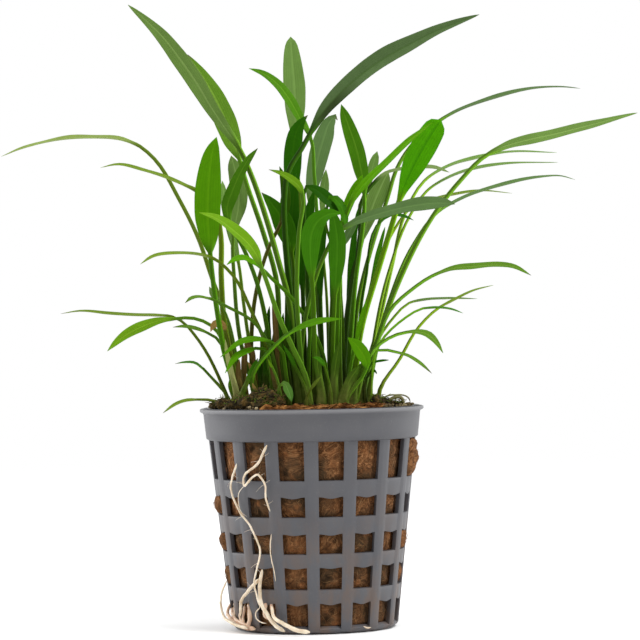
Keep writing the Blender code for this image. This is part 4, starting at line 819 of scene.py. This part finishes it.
# Shoots, sheaths and leaf stumps at the crown. Young leaves push up between the stalks, short sheaths wrap the feet of
# the right-hand sheaf, and old ones have died off brown and curled.
DEAD = ((0.13, 0.075, 0.02), (0.16, 0.095, 0.03), (0.15, 0.1, 0.018), (0.27, 0.18, 0.055))
TAN = ((0.4, 0.25, 0.07), (0.45, 0.29, 0.1), (0.16, 0.22, 0.01), (0.5, 0.34, 0.12))
CREAM = ((0.3, 0.34, 0.1), (0.3, 0.34, 0.1), (0.34, 0.36, 0.12), (0.4, 0.42, 0.18))
# SHADY, and DARK where it serves the crown leaves, colour the stalks and sheaths in the dark heart of the tuft; there
# their tints are partly painted shade.
SHADY = ((0.034, 0.105, 0.004), (0.06, 0.14, 0.01), (0.07, 0.16, 0.01), (0.16, 0.3, 0.02))
SHOOTS = {
    "shoot_oval_left": (BRIGHT, 0.8, (-18.0, -8.2), -10, (0, -1, 0),
        [(-18.1, 53.0), (-18.2, 53.6)], [(-18.4, 55.2, 1.5), (-18.6, 56.9, 1.7), (-18.2, 58.7, 0.3)]),
    "shoot_small_oval": (COOL, 0.7, (-8.4, -15.6), -19, (0, -1, 0.2),
        [(-8.0, 54.6), (-7.2, 56.2)], [(-6.3, 56.6, 1.5), (-5.5, 55.2, 2.0), (-4.9, 53.6, 1.7), (-4.6, 52.2, 0.4)]),
    "shoot_pale_stem": (LIGHT, 0.7, (-7.0, -14.5), -14, (0, -1, 0.3),
        [(-7.3, 54.5), (-8.1, 58.2), (-8.9, 60.2)], [(-9.5, 61.2, 0.7), (-10.0, 62.4, 0.2)]),
    "shoot_curved_right": (OLIVE, 0.6, (-1.4, -17.2), -20, (0, -1, 0.3),
        [(-1.1, 53.2), (-0.2, 55.0)], [(1.1, 56.7, 0.9), (2.3, 58.0, 0.2)]),
    "shoot_arched": (MID, 0.6, (4.6, -15.4), -20, (0, -1, 0.5),
        [(4.4, 55.4), (3.6, 58.8), (3.2, 60.4)], [(2.6, 61.4, 1.3), (1.5, 62.3, 1.2), (0.4, 62.5, 0.2)]),
    "shoot_upright_front": (MID, 0.9, (-0.3, -15.4), -15, (0, -1, 0.2),
        [(-1.6, 55.8), (-3.6, 60.4)], [(-4.9, 63.0, 1.0), (-6.4, 65.6, 0.2)]),
    "leaf_small_grey_behind": (PALE, 0.8, (4.2, 12.0), 26, (0, -1, 0),
        [(4.0, 75.0), (3.2, 96.0)], [(3.4, 98.6, 1.6), (3.9, 102.2, 2.4), (4.3, 106.2, 0.5)]),
    "leaf_yellow_short": (BRIGHT, 0.9, (6.2, -0.8), -14, (0.2, -1, 0),
        [(6.6, 78.0), (7.8, 92.5)], [(8.6, 96.0, 1.9), (9.9, 99.4, 2.4), (11.5, 102.6, 1.8), (12.8, 104.8, 0.4)]),
    "leaf_tip_behind_stripe": (PALE, 0.8, (7.6, 6.6), 10, (0, -1, 0.2),
        [(10.0, 80.0), (13.9, 101.5)], [(14.7, 105.0, 2.0), (15.5, 107.6, 2.3), (16.3, 110.2, 1.1)]),
    "leaf_dark_short_right": (DARK, 0.8, (10.4, 1.8), -4, (0, -0.6, 1),
        [(13.0, 80.0), (17.5, 94.4)], [(19.6, 95.4, 1.8), (21.8, 95.1, 1.6), (24.5, 94.0, 0.3)]),
    "leaf_short_yellow_droop": (MID, 0.8, (8.0, 1.0), -14, (0.6, -1, 0.4),
        [(6.6, 84.0), (4.4, 97.4)], [(5.6, 99.6, 1.8), (7.4, 98.0, 2.6), (8.4, 95.0, 2.0), (8.8, 92.4, 0.6)]),
    "crown_leaf_a": (SHADY, 1.3, (-9.6, -7.4), -8, (0, -1, 0), [(-10.0, 55.0), (-10.4, 60.0)],
        [(-10.9, 63.6, 1.5), (-11.6, 67.4, 0.4)]),
    "crown_leaf_b": (SHADY, 1.6, (-8.0, -9.4), -10, (0, -1, 0), [(-8.3, 54.5), (-8.9, 58.0)],
        [(-9.6, 61.0, 1.5), (-10.4, 64.0, 0.4)]),
    "crown_leaf_c": (DARK, 1.4, (-7.4, -5.0), -6, (0, -1, 0), [(-7.5, 57.0), (-7.2, 63.0)],
        [(-6.8, 68.0, 1.6), (-6.2, 73.0, 0.4)]),
    "crown_leaf_d": (SHADY, 1.6, (-5.0, -6.6), -7, (0, -1, 0), [(-5.2, 56.0), (-5.6, 61.0)],
        [(-5.9, 65.5, 1.8), (-6.0, 70.5, 0.4)]),
    "crown_leaf_e": (SHADY, 1.5, (-11.6, -3.2), -4, (0, -1, 0), [(-11.6, 56.0), (-11.4, 61.0)],
        [(-11.0, 65.0, 1.4), (-10.4, 69.6, 0.4)]),
    "crown_leaf_f": (BRIGHT, 1.1, (-0.8, -8.2), -10, (0, -1, 0), [(-0.6, 60.0), (0.2, 72.0)],
        [(0.6, 77.0, 1.3), (0.9, 81.0, 0.4)]),
    "crown_leaf_g": (BRIGHT, 1.0, (8.4, -10.4), -13, (0, -1, 0), [(8.8, 58.0), (10.6, 66.0)],
        [(11.9, 71.0, 1.3), (13.2, 75.6, 0.4)]),
    "crown_leaf_h": (DARK, 2.0, (-12.6, -6.4), -7, (0, -1, 0), [(-12.5, 54.0), (-12.3, 57.0)],
        [(-12.2, 59.6, 1.7), (-12.0, 62.4, 0.5)]),
    "crown_leaf_i": (DARK, 2.2, (-10.6, -8.0), -8, (0, -1, 0), [(-10.6, 54.6), (-10.4, 58.4)],
        [(-10.1, 61.4, 1.8), (-9.6, 64.6, 0.5)]),
    "crown_leaf_j": (DARK, 2.2, (-8.6, -3.6), -4, (0, -1, 0), [(-8.5, 56.0), (-8.4, 62.0)],
        [(-8.2, 66.0, 1.8), (-7.8, 71.0, 0.5)]),
    "crown_leaf_k": (DARK, 2.3, (-6.4, -8.0), -8, (0, -1, 0), [(-6.4, 55.6), (-6.6, 60.6)],
        [(-6.9, 64.0, 1.9), (-7.3, 67.6, 0.5)]),
    "crown_leaf_l": (DARK, 2.2, (-4.4, -4.6), -5, (0, -1, 0), [(-4.4, 57.0), (-4.6, 63.0)],
        [(-4.8, 67.6, 1.8), (-5.0, 73.0, 0.5)]),
    "crown_leaf_m": (DEAD, 1.1, (-7.9, -12.4), -13, (0, -1, 0), [(-8.2, 54.6), (-8.6, 57.2)],
        [(-9.0, 59.4, 1.0), (-9.6, 61.8, 0.4)]),
    "shoot_leaning": (MID, 1.3, (-16.6, -12.6), -14, (0, -1, 0), [(-16.3, 53.6), (-14.8, 57.2)],
        [(-13.4, 60.2, 1.5), (-12.3, 62.6, 0.4)]),
    "stump_cut": (DARK, 0.7, (12.2, -9.6), -13, (0, -1, 1), [(12.7, 58.6), (14.3, 61.0)],
        [(16.2, 61.4, 0.8), (18.2, 61.6, 0.5)]),
    "bud_dark": (DARK, 0.7, (12.6, -10.2), -13, (0, -1, 0), [(13.0, 57.6), (14.0, 59.4)], [(14.9, 59.1, 1.0), (15.3, 58.4, 0.4)]),
    "pale_stalk_foot": (CREAM, 1.5, (-16.7, -10.6), -11, (0, -1, 0),
        [(-17.3, 54.0), (-18.2, 58.0)], [(-18.9, 61.0, 1.3), (-19.5, 64.0, 0.9), (-19.8, 67.0, 0.3)]),
    "leaf_tip_far_left": (SILVER, 0.7, (-15.0, 0.6), 2, (0, -1, 0),
        [(-17.0, 62.0), (-20.6, 75.0)], [(-22.2, 77.2, 1.6), (-22.9, 78.4, 1.4), (-23.3, 79.4, 0.4)]),
    "dead_tip_curled": (TAN, 0.6, (-17.2, -0.6), -10, (0, -1, 0.4),
        [(-18.6, 61.0), (-19.6, 69.0)], [(-20.4, 70.5, 1.7), (-21.6, 70.9, 1.9), (-22.8, 69.8, 1.3), (-23.2, 68.9, 0.4)]),
    "dead_sheath_left": (DEAD, 1.6, (-15.9, -9.6), -10, (0, -1, 0),
        [(-16.4, 54.5), (-16.8, 57.6)], [(-16.9, 60.0, 1.2), (-16.6, 62.4, 0.5)]),
    "dead_sheath_behind": (DEAD, 1.5, (-15.0, -7.6), -8, (0, -1, 0),
        [(-15.4, 54.5), (-15.6, 58.8)], [(-15.4, 62.8, 1.4), (-14.9, 66.4, 0.4)]),
    "tan_sheath": (TAN, 1.0, (-12.6, -10.0), -12, (0.3, -1, 0),
        [(-12.9, 55.6), (-13.3, 58.0)], [(-13.9, 60.2, 1.2), (-14.7, 61.8, 0.4)]),
    "tan_flake": (TAN, 0.8, (-11.9, -13.4), -16, (0.3, -1, 0),
        [(-12.3, 53.2), (-12.6, 54.0)], [(-13.1, 55.2, 1.2), (-13.7, 56.8, 0.4)]),
    "dead_curl_upper": (DEAD, 0.8, (-12.4, -6.0), -12, (0.4, -1, 0.3),
        [(-12.8, 58.0), (-13.2, 61.4)], [(-13.9, 64.0, 2.0), (-14.9, 66.2, 1.5), (-14.2, 67.6, 0.4)]),
    "dead_strip_centre": (DEAD, 1.0, (-6.8, -9.0), -12, (0, -1, 0),
        [(-7.2, 56.0), (-7.7, 62.0)], [(-8.0, 68.0, 1.3), (-8.3, 73.0, 1.0), (-8.5, 77.5, 0.3)]),
    "sheath_right_outer": (SHADY, 2.0, (11.2, -9.6), -10, (0.3, -1, 0),
        [(11.4, 54.0), (11.6, 57.0)], [(12.0, 60.0, 1.6), (12.7, 63.4, 0.5)]),
    "sheath_right_wide": (SHADY, 2.4, (9.2, -13.2), -15, (0, -1, 0),
        [(9.4, 53.6), (10.0, 56.0)], [(10.9, 58.6, 2.2), (12.0, 61.2, 1.0)]),
    "sheath_right_front": (SHADY, 2.2, (7.2, -14.8), -17, (0, -1, 0),
        [(7.5, 53.6), (8.4, 55.9)], [(9.6, 58.1, 2.0), (11.3, 60.4, 0.8)]),
    "sheath_right_inner": (SHADY, 2.2, (5.2, -14.0), -15, (-0.2, -1, 0),
        [(5.2, 54.2), (5.4, 57.6)], [(5.9, 61.5, 1.9), (6.8, 66.0, 0.6)]),
    "sheath_centre": (SHADY, 2.0, (2.4, -13.6), -14, (0, -1, 0),
        [(2.2, 54.4), (1.8, 58.2)], [(1.5, 62.0, 1.7), (1.3, 66.2, 0.5)]),
    "sheath_centre_left": (SHADY, 1.9, (-2.8, -10.6), -11, (0, -1, 0),
        [(-3.0, 54.4), (-3.6, 59.2)], [(-4.1, 63.0, 1.7), (-4.6, 67.8, 0.5)]),
    "stalk_filler_a": (DARK, 1.3, (-3.8, 1.0), 2, (0, -1, 0), [(-3.2, 66.0), (-3.0, 78.0)],
        [(-3.4, 84.0, 2.6), (-3.8, 91.0, 3.6), (-3.6, 97.5, 3.1), (-3.0, 102.0, 1.6), (-2.6, 105.4, 0.3)]),
    "stalk_filler_b": (MID, 1.1, (-6.4, 3.4), 4, (0, -1, 0), [(-5.6, 68.0), (-5.2, 82.0)],
        [(-5.2, 90.0, 2.0), (-5.5, 98.0, 2.3), (-5.0, 104.6, 0.3)]),
    "stalk_filler_c": (DARK, 1.2, (0.2, 3.2), 5, (0, -1, 0), [(0.4, 68.0), (-0.2, 84.0)],
        [(-0.3, 90.0, 2.2), (0.2, 96.0, 2.6), (1.4, 101.4, 0.4)]),
    "stalk_filler_d": (DARK, 1.3, (2.6, 4.6), 6, (0, -1, 0), [(2.6, 66.0), (2.4, 76.0)],
        [(2.6, 84.0, 1.9), (3.2, 92.0, 2.1), (4.0, 97.6, 0.4)]),
    "stalk_filler_e": (DARK, 1.2, (6.0, 6.0), 6, (0, -1, 0), [(7.6, 66.0), (9.0, 76.0)],
        [(9.8, 84.0, 1.6), (10.8, 92.0, 1.2), (11.6, 97.0, 0.4)]),
    "stalk_filler_f": (MID, 1.1, (9.0, 2.4), 3, (0, -1, 0), [(11.8, 68.0), (14.6, 80.0)],
        [(16.0, 86.0, 1.2), (17.8, 92.6, 0.4)]),
    "stalk_filler_g": (DARK, 1.3, (-1.2, 8.4), 9, (0, -1, 0), [(-1.4, 66.0), (-1.6, 78.0)],
        [(-1.8, 86.0, 1.8), (-1.6, 94.0, 0.4)]),
    "stalk_filler_h": (MID, 1.2, (3.8, 8.8), 9, (0, -1, 0), [(4.6, 66.0), (5.2, 76.0)],
        [(5.6, 84.0, 1.7), (6.4, 93.0, 0.4)]),
    "stalk_filler_i": (DARK, 1.2, (-8.6, 2.4), 3, (0, -1, 0), [(-9.2, 62.0), (-9.6, 68.0)],
        [(-9.8, 71.0, 1.1), (-9.4, 74.6, 0.4)]),
    "leaf_grey_snippet": (GREY, 0.9, (6.8, -3.6), -8, (0, -1, 0), [(7.2, 76.0), (8.2, 88.6)],
        [(8.9, 90.4, 1.7), (10.0, 92.4, 2.1), (11.6, 94.6, 0.5)]),
    "sheath_left_of_centre": (SHADY, 1.8, (-6.0, -8.6), -9, (0, -1, 0),
        [(-6.2, 54.4), (-6.6, 58.8)], [(-6.9, 62.4, 1.6), (-7.2, 67.0, 0.5)]),
}
for shoot_name, shoot_form in SHOOTS.items():
    grow_leaf(shoot_name, *shoot_form)

# The moss and debris. Dark crumbs of old peat and moss have heaped up inside the lip at the left front, and a thin
# layer with gravelly grains lies at the right, all held together by fine moss fronds.
MOSS_LUMPS = (
    ((-22.4, 51.6, -8.6), (1.3, 1.5, 0.9)), ((-20.4, 52.0, -11.4), (1.9, 1.8, 1.2)),
    ((-18.0, 51.9, -14.0), (1.9, 1.6, 1.2)), ((-15.5, 52.2, -15.6), (1.8, 1.5, 1.3)),
    ((-13.3, 52.9, -15.4), (1.6, 1.6, 1.9)), ((-11.2, 53.4, -15.4), (1.9, 1.7, 2.3)),
    ((-9.2, 53.2, -16.2), (1.7, 1.6, 1.9)), ((-7.6, 52.2, -17.4), (1.5, 1.4, 1.3)),
    ((-11.9, 51.8, -17.8), (2.0, 1.3, 1.2)), ((-8.8, 51.6, -18.6), (1.7, 1.2, 0.9)),
    ((14.9, 51.9, -11.6), (1.4, 1.5, 1.4)), ((16.8, 51.8, -11.0), (1.6, 1.6, 1.0)),
    ((19.0, 51.3, -10.0), (1.6, 1.5, 0.8)), ((20.8, 51.1, -8.8), (1.3, 1.4, 0.7)),
    ((-1.0, 51.0, -12.0), (4.5, 4.0, 0.8)), ((6.0, 51.0, -10.0), (6.0, 5.0, 0.9)),
    ((-10.0, 51.0, -4.0), (7.0, 7.0, 0.9)), ((4.0, 50.9, 6.0), (9.0, 8.0, 0.9)),
)
LUMPS_IN_SIGHT = 14
FROND_COUNT = 520
GRAIN_COUNT = 130


def moss_material(name, dark, middle, light, rough_scale):
    material, tree, shader = new_material(name)
    crumbs = noise_of(tree, rough_scale, 5, 0.7)
    tree.links.new(ramp(tree, crumbs, (0.36, *dark), (0.5, *middle), (0.66, *light)), shader.inputs["Base Color"])
    shader.inputs["Roughness"].default_value = 0.9
    shader.inputs["Specular IOR Level"].default_value = 0.25
    bumped(tree, shader, crumbs, 0.9, 0.4)
    return material


def make_moss():
    chance = random.Random(5)
    bm = bmesh.new()
    for (across, up, behind), size in MOSS_LUMPS:
        middle = seen_from_front(across, up, behind)
        made = bmesh.ops.create_icosphere(bm, subdivisions=5, radius=1)["verts"]
        for vert in made:
            round_place = vert.co.copy()
            place = middle + Vector(part * reach for part, reach in zip(round_place, size))
            rough = noise.fractal(place * 0.9, 0.8, 2.1, 6)
            crumb = noise.noise(place * 3.5)
            vert.co = place + round_place * (0.42 * rough + 0.16 * crumb)
            vert.co.z = max(vert.co.z, PLUG_TOP - 0.2)
    heap = add_piece("moss_heap", bm, moss_material(
        "dark_crumbs", (0.006, 0.004, 0.001), (0.03, 0.021, 0.004), (0.12, 0.068, 0.014), 520), "moss_mound", crease=180)

    fronds = {"green": [], "straw": []}
    for count in range(FROND_COUNT):
        (across, up, behind), size = MOSS_LUMPS[chance.randrange(LUMPS_IN_SIGHT)]
        turn = chance.uniform(0, math.tau)
        tilt = chance.uniform(0.05, 1.5)
        middle = seen_from_front(across, up, behind)
        out = Vector((math.cos(turn) * math.sin(tilt), math.sin(turn) * math.sin(tilt), math.cos(tilt)))
        root = middle + Vector(part * reach for part, reach in zip(out, size))
        bend = Vector((chance.uniform(-1.3, 1.3), chance.uniform(-1.3, 1.3), chance.uniform(-1.1, 0.2)))
        length = chance.uniform(0.5, 1.7)
        strand = []
        for share in (0, 0.35, 0.7, 1):
            place = root + out * (length * share * 0.7) + bend * (length * share * share * 0.6)
            place.z = max(place.z, PLUG_TOP + 0.1)
            off_axis = math.hypot(place.x, place.y)
            if off_axis > 25.4 and place.z < POT_HEIGHT + 0.3:
                place.z = POT_HEIGHT + 0.3
            strand.append((place, 0.12 * (1 - 0.7 * share)))
        fronds["green" if chance.random() < 0.62 else "straw"].append(strand)
    green = strand_piece("moss_fronds", fronds["green"], moss_material(
        "moss_green", (0.018, 0.032, 0.001), (0.055, 0.085, 0.004), (0.15, 0.19, 0.01), 500))
    straw = strand_piece("moss_straw", fronds["straw"], moss_material(
        "old_straw", (0.02, 0.011, 0.003), (0.08, 0.046, 0.012), (0.26, 0.17, 0.055), 300))

    bm = bmesh.new()
    for count in range(GRAIN_COUNT):
        right = chance.random() < 0.6
        turn = math.radians(chance.uniform(-46, -14) if right else chance.uniform(194, 240))
        radius = chance.uniform(21.0, 24.6)
        size = chance.uniform(0.14, 0.42)
        level = PLUG_TOP + 1.0 + chance.uniform(-0.2, 0.5)
        place = Vector((math.cos(turn) * radius, math.sin(turn) * radius, level))
        made = bmesh.ops.create_icosphere(bm, subdivisions=2, radius=size)["verts"]
        shift = chance.uniform(0, 50)
        for vert in made:
            vert.co *= 1 + 0.35 * noise.noise(vert.co * 4 + Vector((shift, 0, 0)))
        bmesh.ops.translate(bm, verts=made, vec=place)
    grains = add_piece("gravel_grains", bm, moss_material(
        "grain", (0.035, 0.024, 0.01), (0.14, 0.1, 0.045), (0.42, 0.34, 0.2), 260), crease=30)


make_moss()

# The roots. Fleshy cream roots have grown out through the holes and hang down the wall to the floor. They are round,
# taper a little, kink where they met the plastic, and the younger ones carry fine side hairs.
ROOTS = {
    "root_looped": (0.62, 0.4, [
        (-10.6, 42.3, 0.8), (-12.7, 38.1, 0.8), (-16.1, 34.6, 0.8), (-16.0, 33.0, 0.8), (-14.7, 34.2, 1.2),
        (-12.6, 35.4, 1.8), (-11.3, 33.4, 1.2), (-10.9, 29.2, 0.8), (-10.1, 26.9, 0.8)]),
    "root_long": (0.5, 0.4, [
        (-17.7, 38.1, 0.7), (-19.1, 32.5, 0.8), (-17.6, 27.8, 0.8), (-14.3, 22.6, 0.8), (-12.6, 17.3, 0.8),
        (-13.4, 13.6, 2.3), (-14.1, 10.1, 2.4), (-13.4, 6.8, 2.4), (-12.9, 4.6, 2.2)]),
    "root_floor_left": (0.8, 0.95, [
        (-12.2, 13.4, 0.8), (-12.8, 9.0, 0.8), (-12.5, 5.4, 0.8), (-11.4, 3.3, 0.9), (-9.3, 0.3, 1.6),
        (-7.2, -1.1, 2.6)]),
    "root_branch": (0.85, 0.7, [
        (-12.9, 11.2, 0.9), (-14.6, 9.5, 0.8), (-16.0, 7.8, 0.8), (-17.2, 6.0, 0.8), (-17.4, 2.7, 0.9)]),
    "root_outer_curl": (0.45, 0.85, [
        (-20.4, 11.0, 1.2), (-21.6, 8.4, 2.4), (-21.5, 3.1, 2.4), (-18.7, 0.7, 1.8), (-15.8, -0.2, 1.6)]),
    "root_floor_right": (0.75, 1.05, [
        (-10.1, 4.8, 0.9), (-9.8, 2.6, 1.6), (-7.3, 0.6, 3.0), (-4.0, -1.0, 4.1), (-1.3, -1.4, 4.6)]),
}
FINE_ROOTS = {
    "root_thin": (0.28, 0.2, [(-9.9, 21.5, 0.7), (-10.2, 18.6, 0.7), (-10.0, 16.0, 0.7), (-9.3, 12.6, 0.7), (-9.1, 10.6, 0.7)]),
    "root_hair_loop": (0.18, 0.12, [
        (-16.0, 33.0, 1.3), (-17.2, 31.4, 1.5), (-17.4, 29.2, 1.5), (-16.6, 26.6, 1.3), (-15.6, 25.8, 1.0)]),
    "root_fine_loop": (0.3, 0.22, [
        (-12.9, 4.6, 2.0), (-13.9, 3.2, 2.2), (-13.7, 2.1, 2.2), (-12.4, 1.0, 2.2), (-11.4, 0.9, 2.0)]),
    "root_front_tip": (0.45, 0.35, [(11.2, -0.2, 1.0), (11.9, -0.6, 1.2), (12.9, -0.5, 1.0)]),
}
# The young roots crowded into the lowest holes at the left, which look like one pinkish mass.
CLUMP_ROOTS = (
    (0.7, 1.1, [(-19.7, 5.6, -1.4), (-20.3, 4.0, 0.2), (-20.1, 2.7, 0.5), (-19.2, 1.6, 0.6), (-17.6, 0.4, 0.6),
        (-15.2, -0.4, 0.7)]),
    (0.45, 0.6, [(-18.8, 5.8, -1.6), (-18.7, 3.7, -0.2), (-18.7, 1.9, 0.3), (-17.4, 0.8, 0.6), (-15.4, 0.2, 0.6)]),
    (0.5, 0.7, [(-16.1, 5.6, -1.6), (-16.6, 3.7, 0.0), (-16.8, 2.2, 0.3), (-16.5, 0.7, 0.5), (-14.6, -0.3, 0.6)]),
    (1.0, 1.1, [(-15.4, 5.8, -1.7), (-15.2, 3.4, -0.3), (-15.3, 1.7, 0.1), (-15.6, 0.3, 0.4), (-14.0, -0.5, 0.5)]),
    (0.8, 0.9, [(-19.3, 4.6, -1.3), (-18.9, 2.4, 0.2), (-17.6, 1.2, 0.5), (-15.9, 0.5, 0.7)]),
    (0.6, 0.7, [(-16.9, 4.4, -1.2), (-17.5, 2.6, 0.1), (-17.0, 1.2, 0.5), (-15.6, 0.4, 0.7)]),
    (0.9, 1.0, [(-10.9, 6.0, -1.5), (-11.6, 4.6, -0.2), (-11.8, 3.2, 0.2), (-11.0, 1.8, 0.3)]),
    (0.7, 0.9, [(-10.0, 6.0, -1.5), (-10.1, 4.6, -0.3), (-9.7, 3.2, 0.2)]),
)
STUB = ((17.2, -10.5, 51.0), (18.6, -11.2, 53.0), (20.4, -11.3, 53.2), (21.4, -10.8, 51.4))
OVER_LIP = (
    (15.7, 52.0, -11.0), (17.2, 53.1, -11.2), (19.6, 53.5, -11.2), (21.6, 53.3, -10.8), (22.7, 52.6, -10.5),
    (23.0, 51.7, -10.2),
)
FLOOR_CLEARANCE = 0.1
HAIR_COUNT = 26


def root_flesh(name, pale, shaded):
    material, tree, shader = new_material(name)
    cloud = noise_of(tree, 420, 4, 0.6)
    ring = noise_of(tree, 1600, 2, 0.5, stretch=(0.4, 0.4, 1))
    base = ramp(tree, cloud, (0.32, *shaded), (0.6, *pale))
    tree.links.new(blended(tree, sums(tree, "MULTIPLY", ring, 0.25), base, shaded), shader.inputs["Base Color"])
    shader.inputs["Roughness"].default_value = 0.5
    shader.inputs["Subsurface Weight"].default_value = 0.25
    shader.inputs["Subsurface Radius"].default_value = (0.6 * MM, 0.4 * MM, 0.25 * MM)
    bumped(tree, shader, ring, 0.3, 0.06)
    return material


def on_wall(across, up, out, thickness):
    """The point that shows at (across, up) on a root lying this far out of the pot's wall, above the floor."""
    point = seen_from_front(across, up, -WALL_FOOT_RADIUS)
    for _ in range(6):
        reach = wall_radius(max(point.z, 0)) + out + thickness / 2
        point = seen_from_front(across, up, -math.sqrt(max(reach**2 - point.x**2, 1)))
    point.z = max(point.z, thickness / 2 + FLOOR_CLEARANCE)
    return point


def grow_root(name, first, last, route, material, stands_for=None):
    """A root along points in mm, as thick as first at its start and as last at its end."""
    line = smooth_line(route, 0.35)
    strand = []
    for count, place in enumerate(line):
        share = count / (len(line) - 1)
        swell = 1 + 0.12 * noise.noise(Vector(place) * 0.9)
        end = min(1.0, 0.35 + 3 * min(share, 1 - share) * len(line) / 12)
        wobble = Vector((noise.noise(Vector(place) * 0.7), 0, noise.noise(Vector(place) * 0.7 + Vector((9, 9, 9))))) * 0.1
        strand.append((Vector(place) + wobble, (first + (last - first) * share) / 2 * swell * end))
    root = strand_piece(name, [strand], material, sides=3)
    if stands_for:
        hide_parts(stands_for)
    return strand


def make_roots():
    cream = root_flesh("root_cream", (0.76, 0.66, 0.52), (0.52, 0.4, 0.26))
    chance = random.Random(3)
    hairs = []
    for root_name, (first, last, points) in ROOTS.items():
        route = [on_wall(*point, max(first, last)) for point in points]
        strand = grow_root(root_name + "_grown", first, last, route, cream, root_name)
        if root_name in ("root_long", "root_looped"):
            for count in range(HAIR_COUNT // 2):
                place, radius = strand[chance.randrange(4, len(strand) - 4)]
                side = chance.choice((-1, 1))
                reach = chance.uniform(0.7, 2.4)
                outwards = Vector((place.x, place.y, 0)).normalized()
                sideways = Vector((-outwards.y, outwards.x, 0)) * side
                drop = chance.uniform(-0.6, 0.5)
                hairs.append([
                    (place + sideways * reach * share + Vector((0, 0, drop * reach * share * (0.5 + share))) + outwards * 0.05,
                     0.042 * (1 - 0.5 * share)) for share in (0, 0.3, 0.65, 1)])
    for root_name, (first, last, points) in FINE_ROOTS.items():
        grow_root(root_name, first, last, [on_wall(*point, max(first, last)) for point in points], cream)
    strand_piece("root_hairs", hairs, cream)
    pink = root_flesh("root_pinkish", (0.64, 0.48, 0.34), (0.46, 0.27, 0.18))
    for count, (first, last, points) in enumerate(CLUMP_ROOTS):
        grow_root(f"root_clump_{count}", first, last, [on_wall(*point, max(first, last)) for point in points], pink)
    brown = root_flesh("root_brown", (0.16, 0.15, 0.04), (0.05, 0.035, 0.015))
    grow_root("root_stub_grown", 0.9, 0.7, STUB, brown, "root_stub")
    grow_root("root_over_lip", 0.42, 0.34, [seen_from_front(*point) for point in OVER_LIP], brown)


make_roots()

# Stage: a pale floor that fades into the white surround, and soft light from above, the sides and behind.
floor_bm = bmesh.new()
bmesh.ops.create_circle(floor_bm, cap_ends=True, segments=96, radius=1.2)
floor_mesh = bpy.data.meshes.new("floor")
floor_bm.to_mesh(floor_mesh)
floor_bm.free()
floor = bpy.data.objects.new("floor", floor_mesh)
bpy.context.scene.collection.objects.link(floor)
floor.location.z = -0.0002
floor_material, floor_tree, floor_shader = new_material("pale_floor")
floor_shader.inputs["Base Color"].default_value = (0.86, 0.86, 0.86, 1)
floor_shader.inputs["Roughness"].default_value = 0.9
reach = node(floor_tree, "ShaderNodeVectorMath", [(0, node(floor_tree, "ShaderNodeTexCoord").outputs["Object"])], operation="LENGTH")
fade = node(floor_tree, "ShaderNodeMapRange", [("Value", reach.outputs["Value"]), ("From Min", 0.12), ("From Max", 0.9), ("To Min", 1), ("To Max", 0)], interpolation_type="SMOOTHSTEP")
floor_tree.links.new(fade.outputs[0], floor_shader.inputs["Alpha"])
floor_mesh.materials.append(floor_material)

world = bpy.data.worlds.new("white_surround")
world.use_nodes = True
world.node_tree.nodes["Background"].inputs["Color"].default_value = (1, 1, 1, 1)
world.node_tree.nodes["Background"].inputs["Strength"].default_value = 1.0
bpy.context.scene.world = world
bpy.context.scene.view_settings.view_transform = "Standard"


def soft_light(name, place, aim, size, power):
    lamp = bpy.data.lights.new(name, "AREA")
    lamp.shape = "DISK"
    lamp.size = size
    lamp.energy = power
    lamp_object = bpy.data.objects.new(name, lamp)
    lamp_object.location = place
    lamp_object.rotation_euler = (Vector(aim) - Vector(place)).to_track_quat("-Z", "Y").to_euler()
    bpy.context.scene.collection.objects.link(lamp_object)


soft_light("key", (0.35, -0.35, 1.0), (0, 0, 0.08), 0.35, 7)
soft_light("left_back", (-0.8, 0.3, 0.3), (0, 0, 0.05), 0.5, 5.5)
soft_light("right_back", (0.8, 0.35, 0.3), (0, 0, 0.05), 0.5, 3.0)
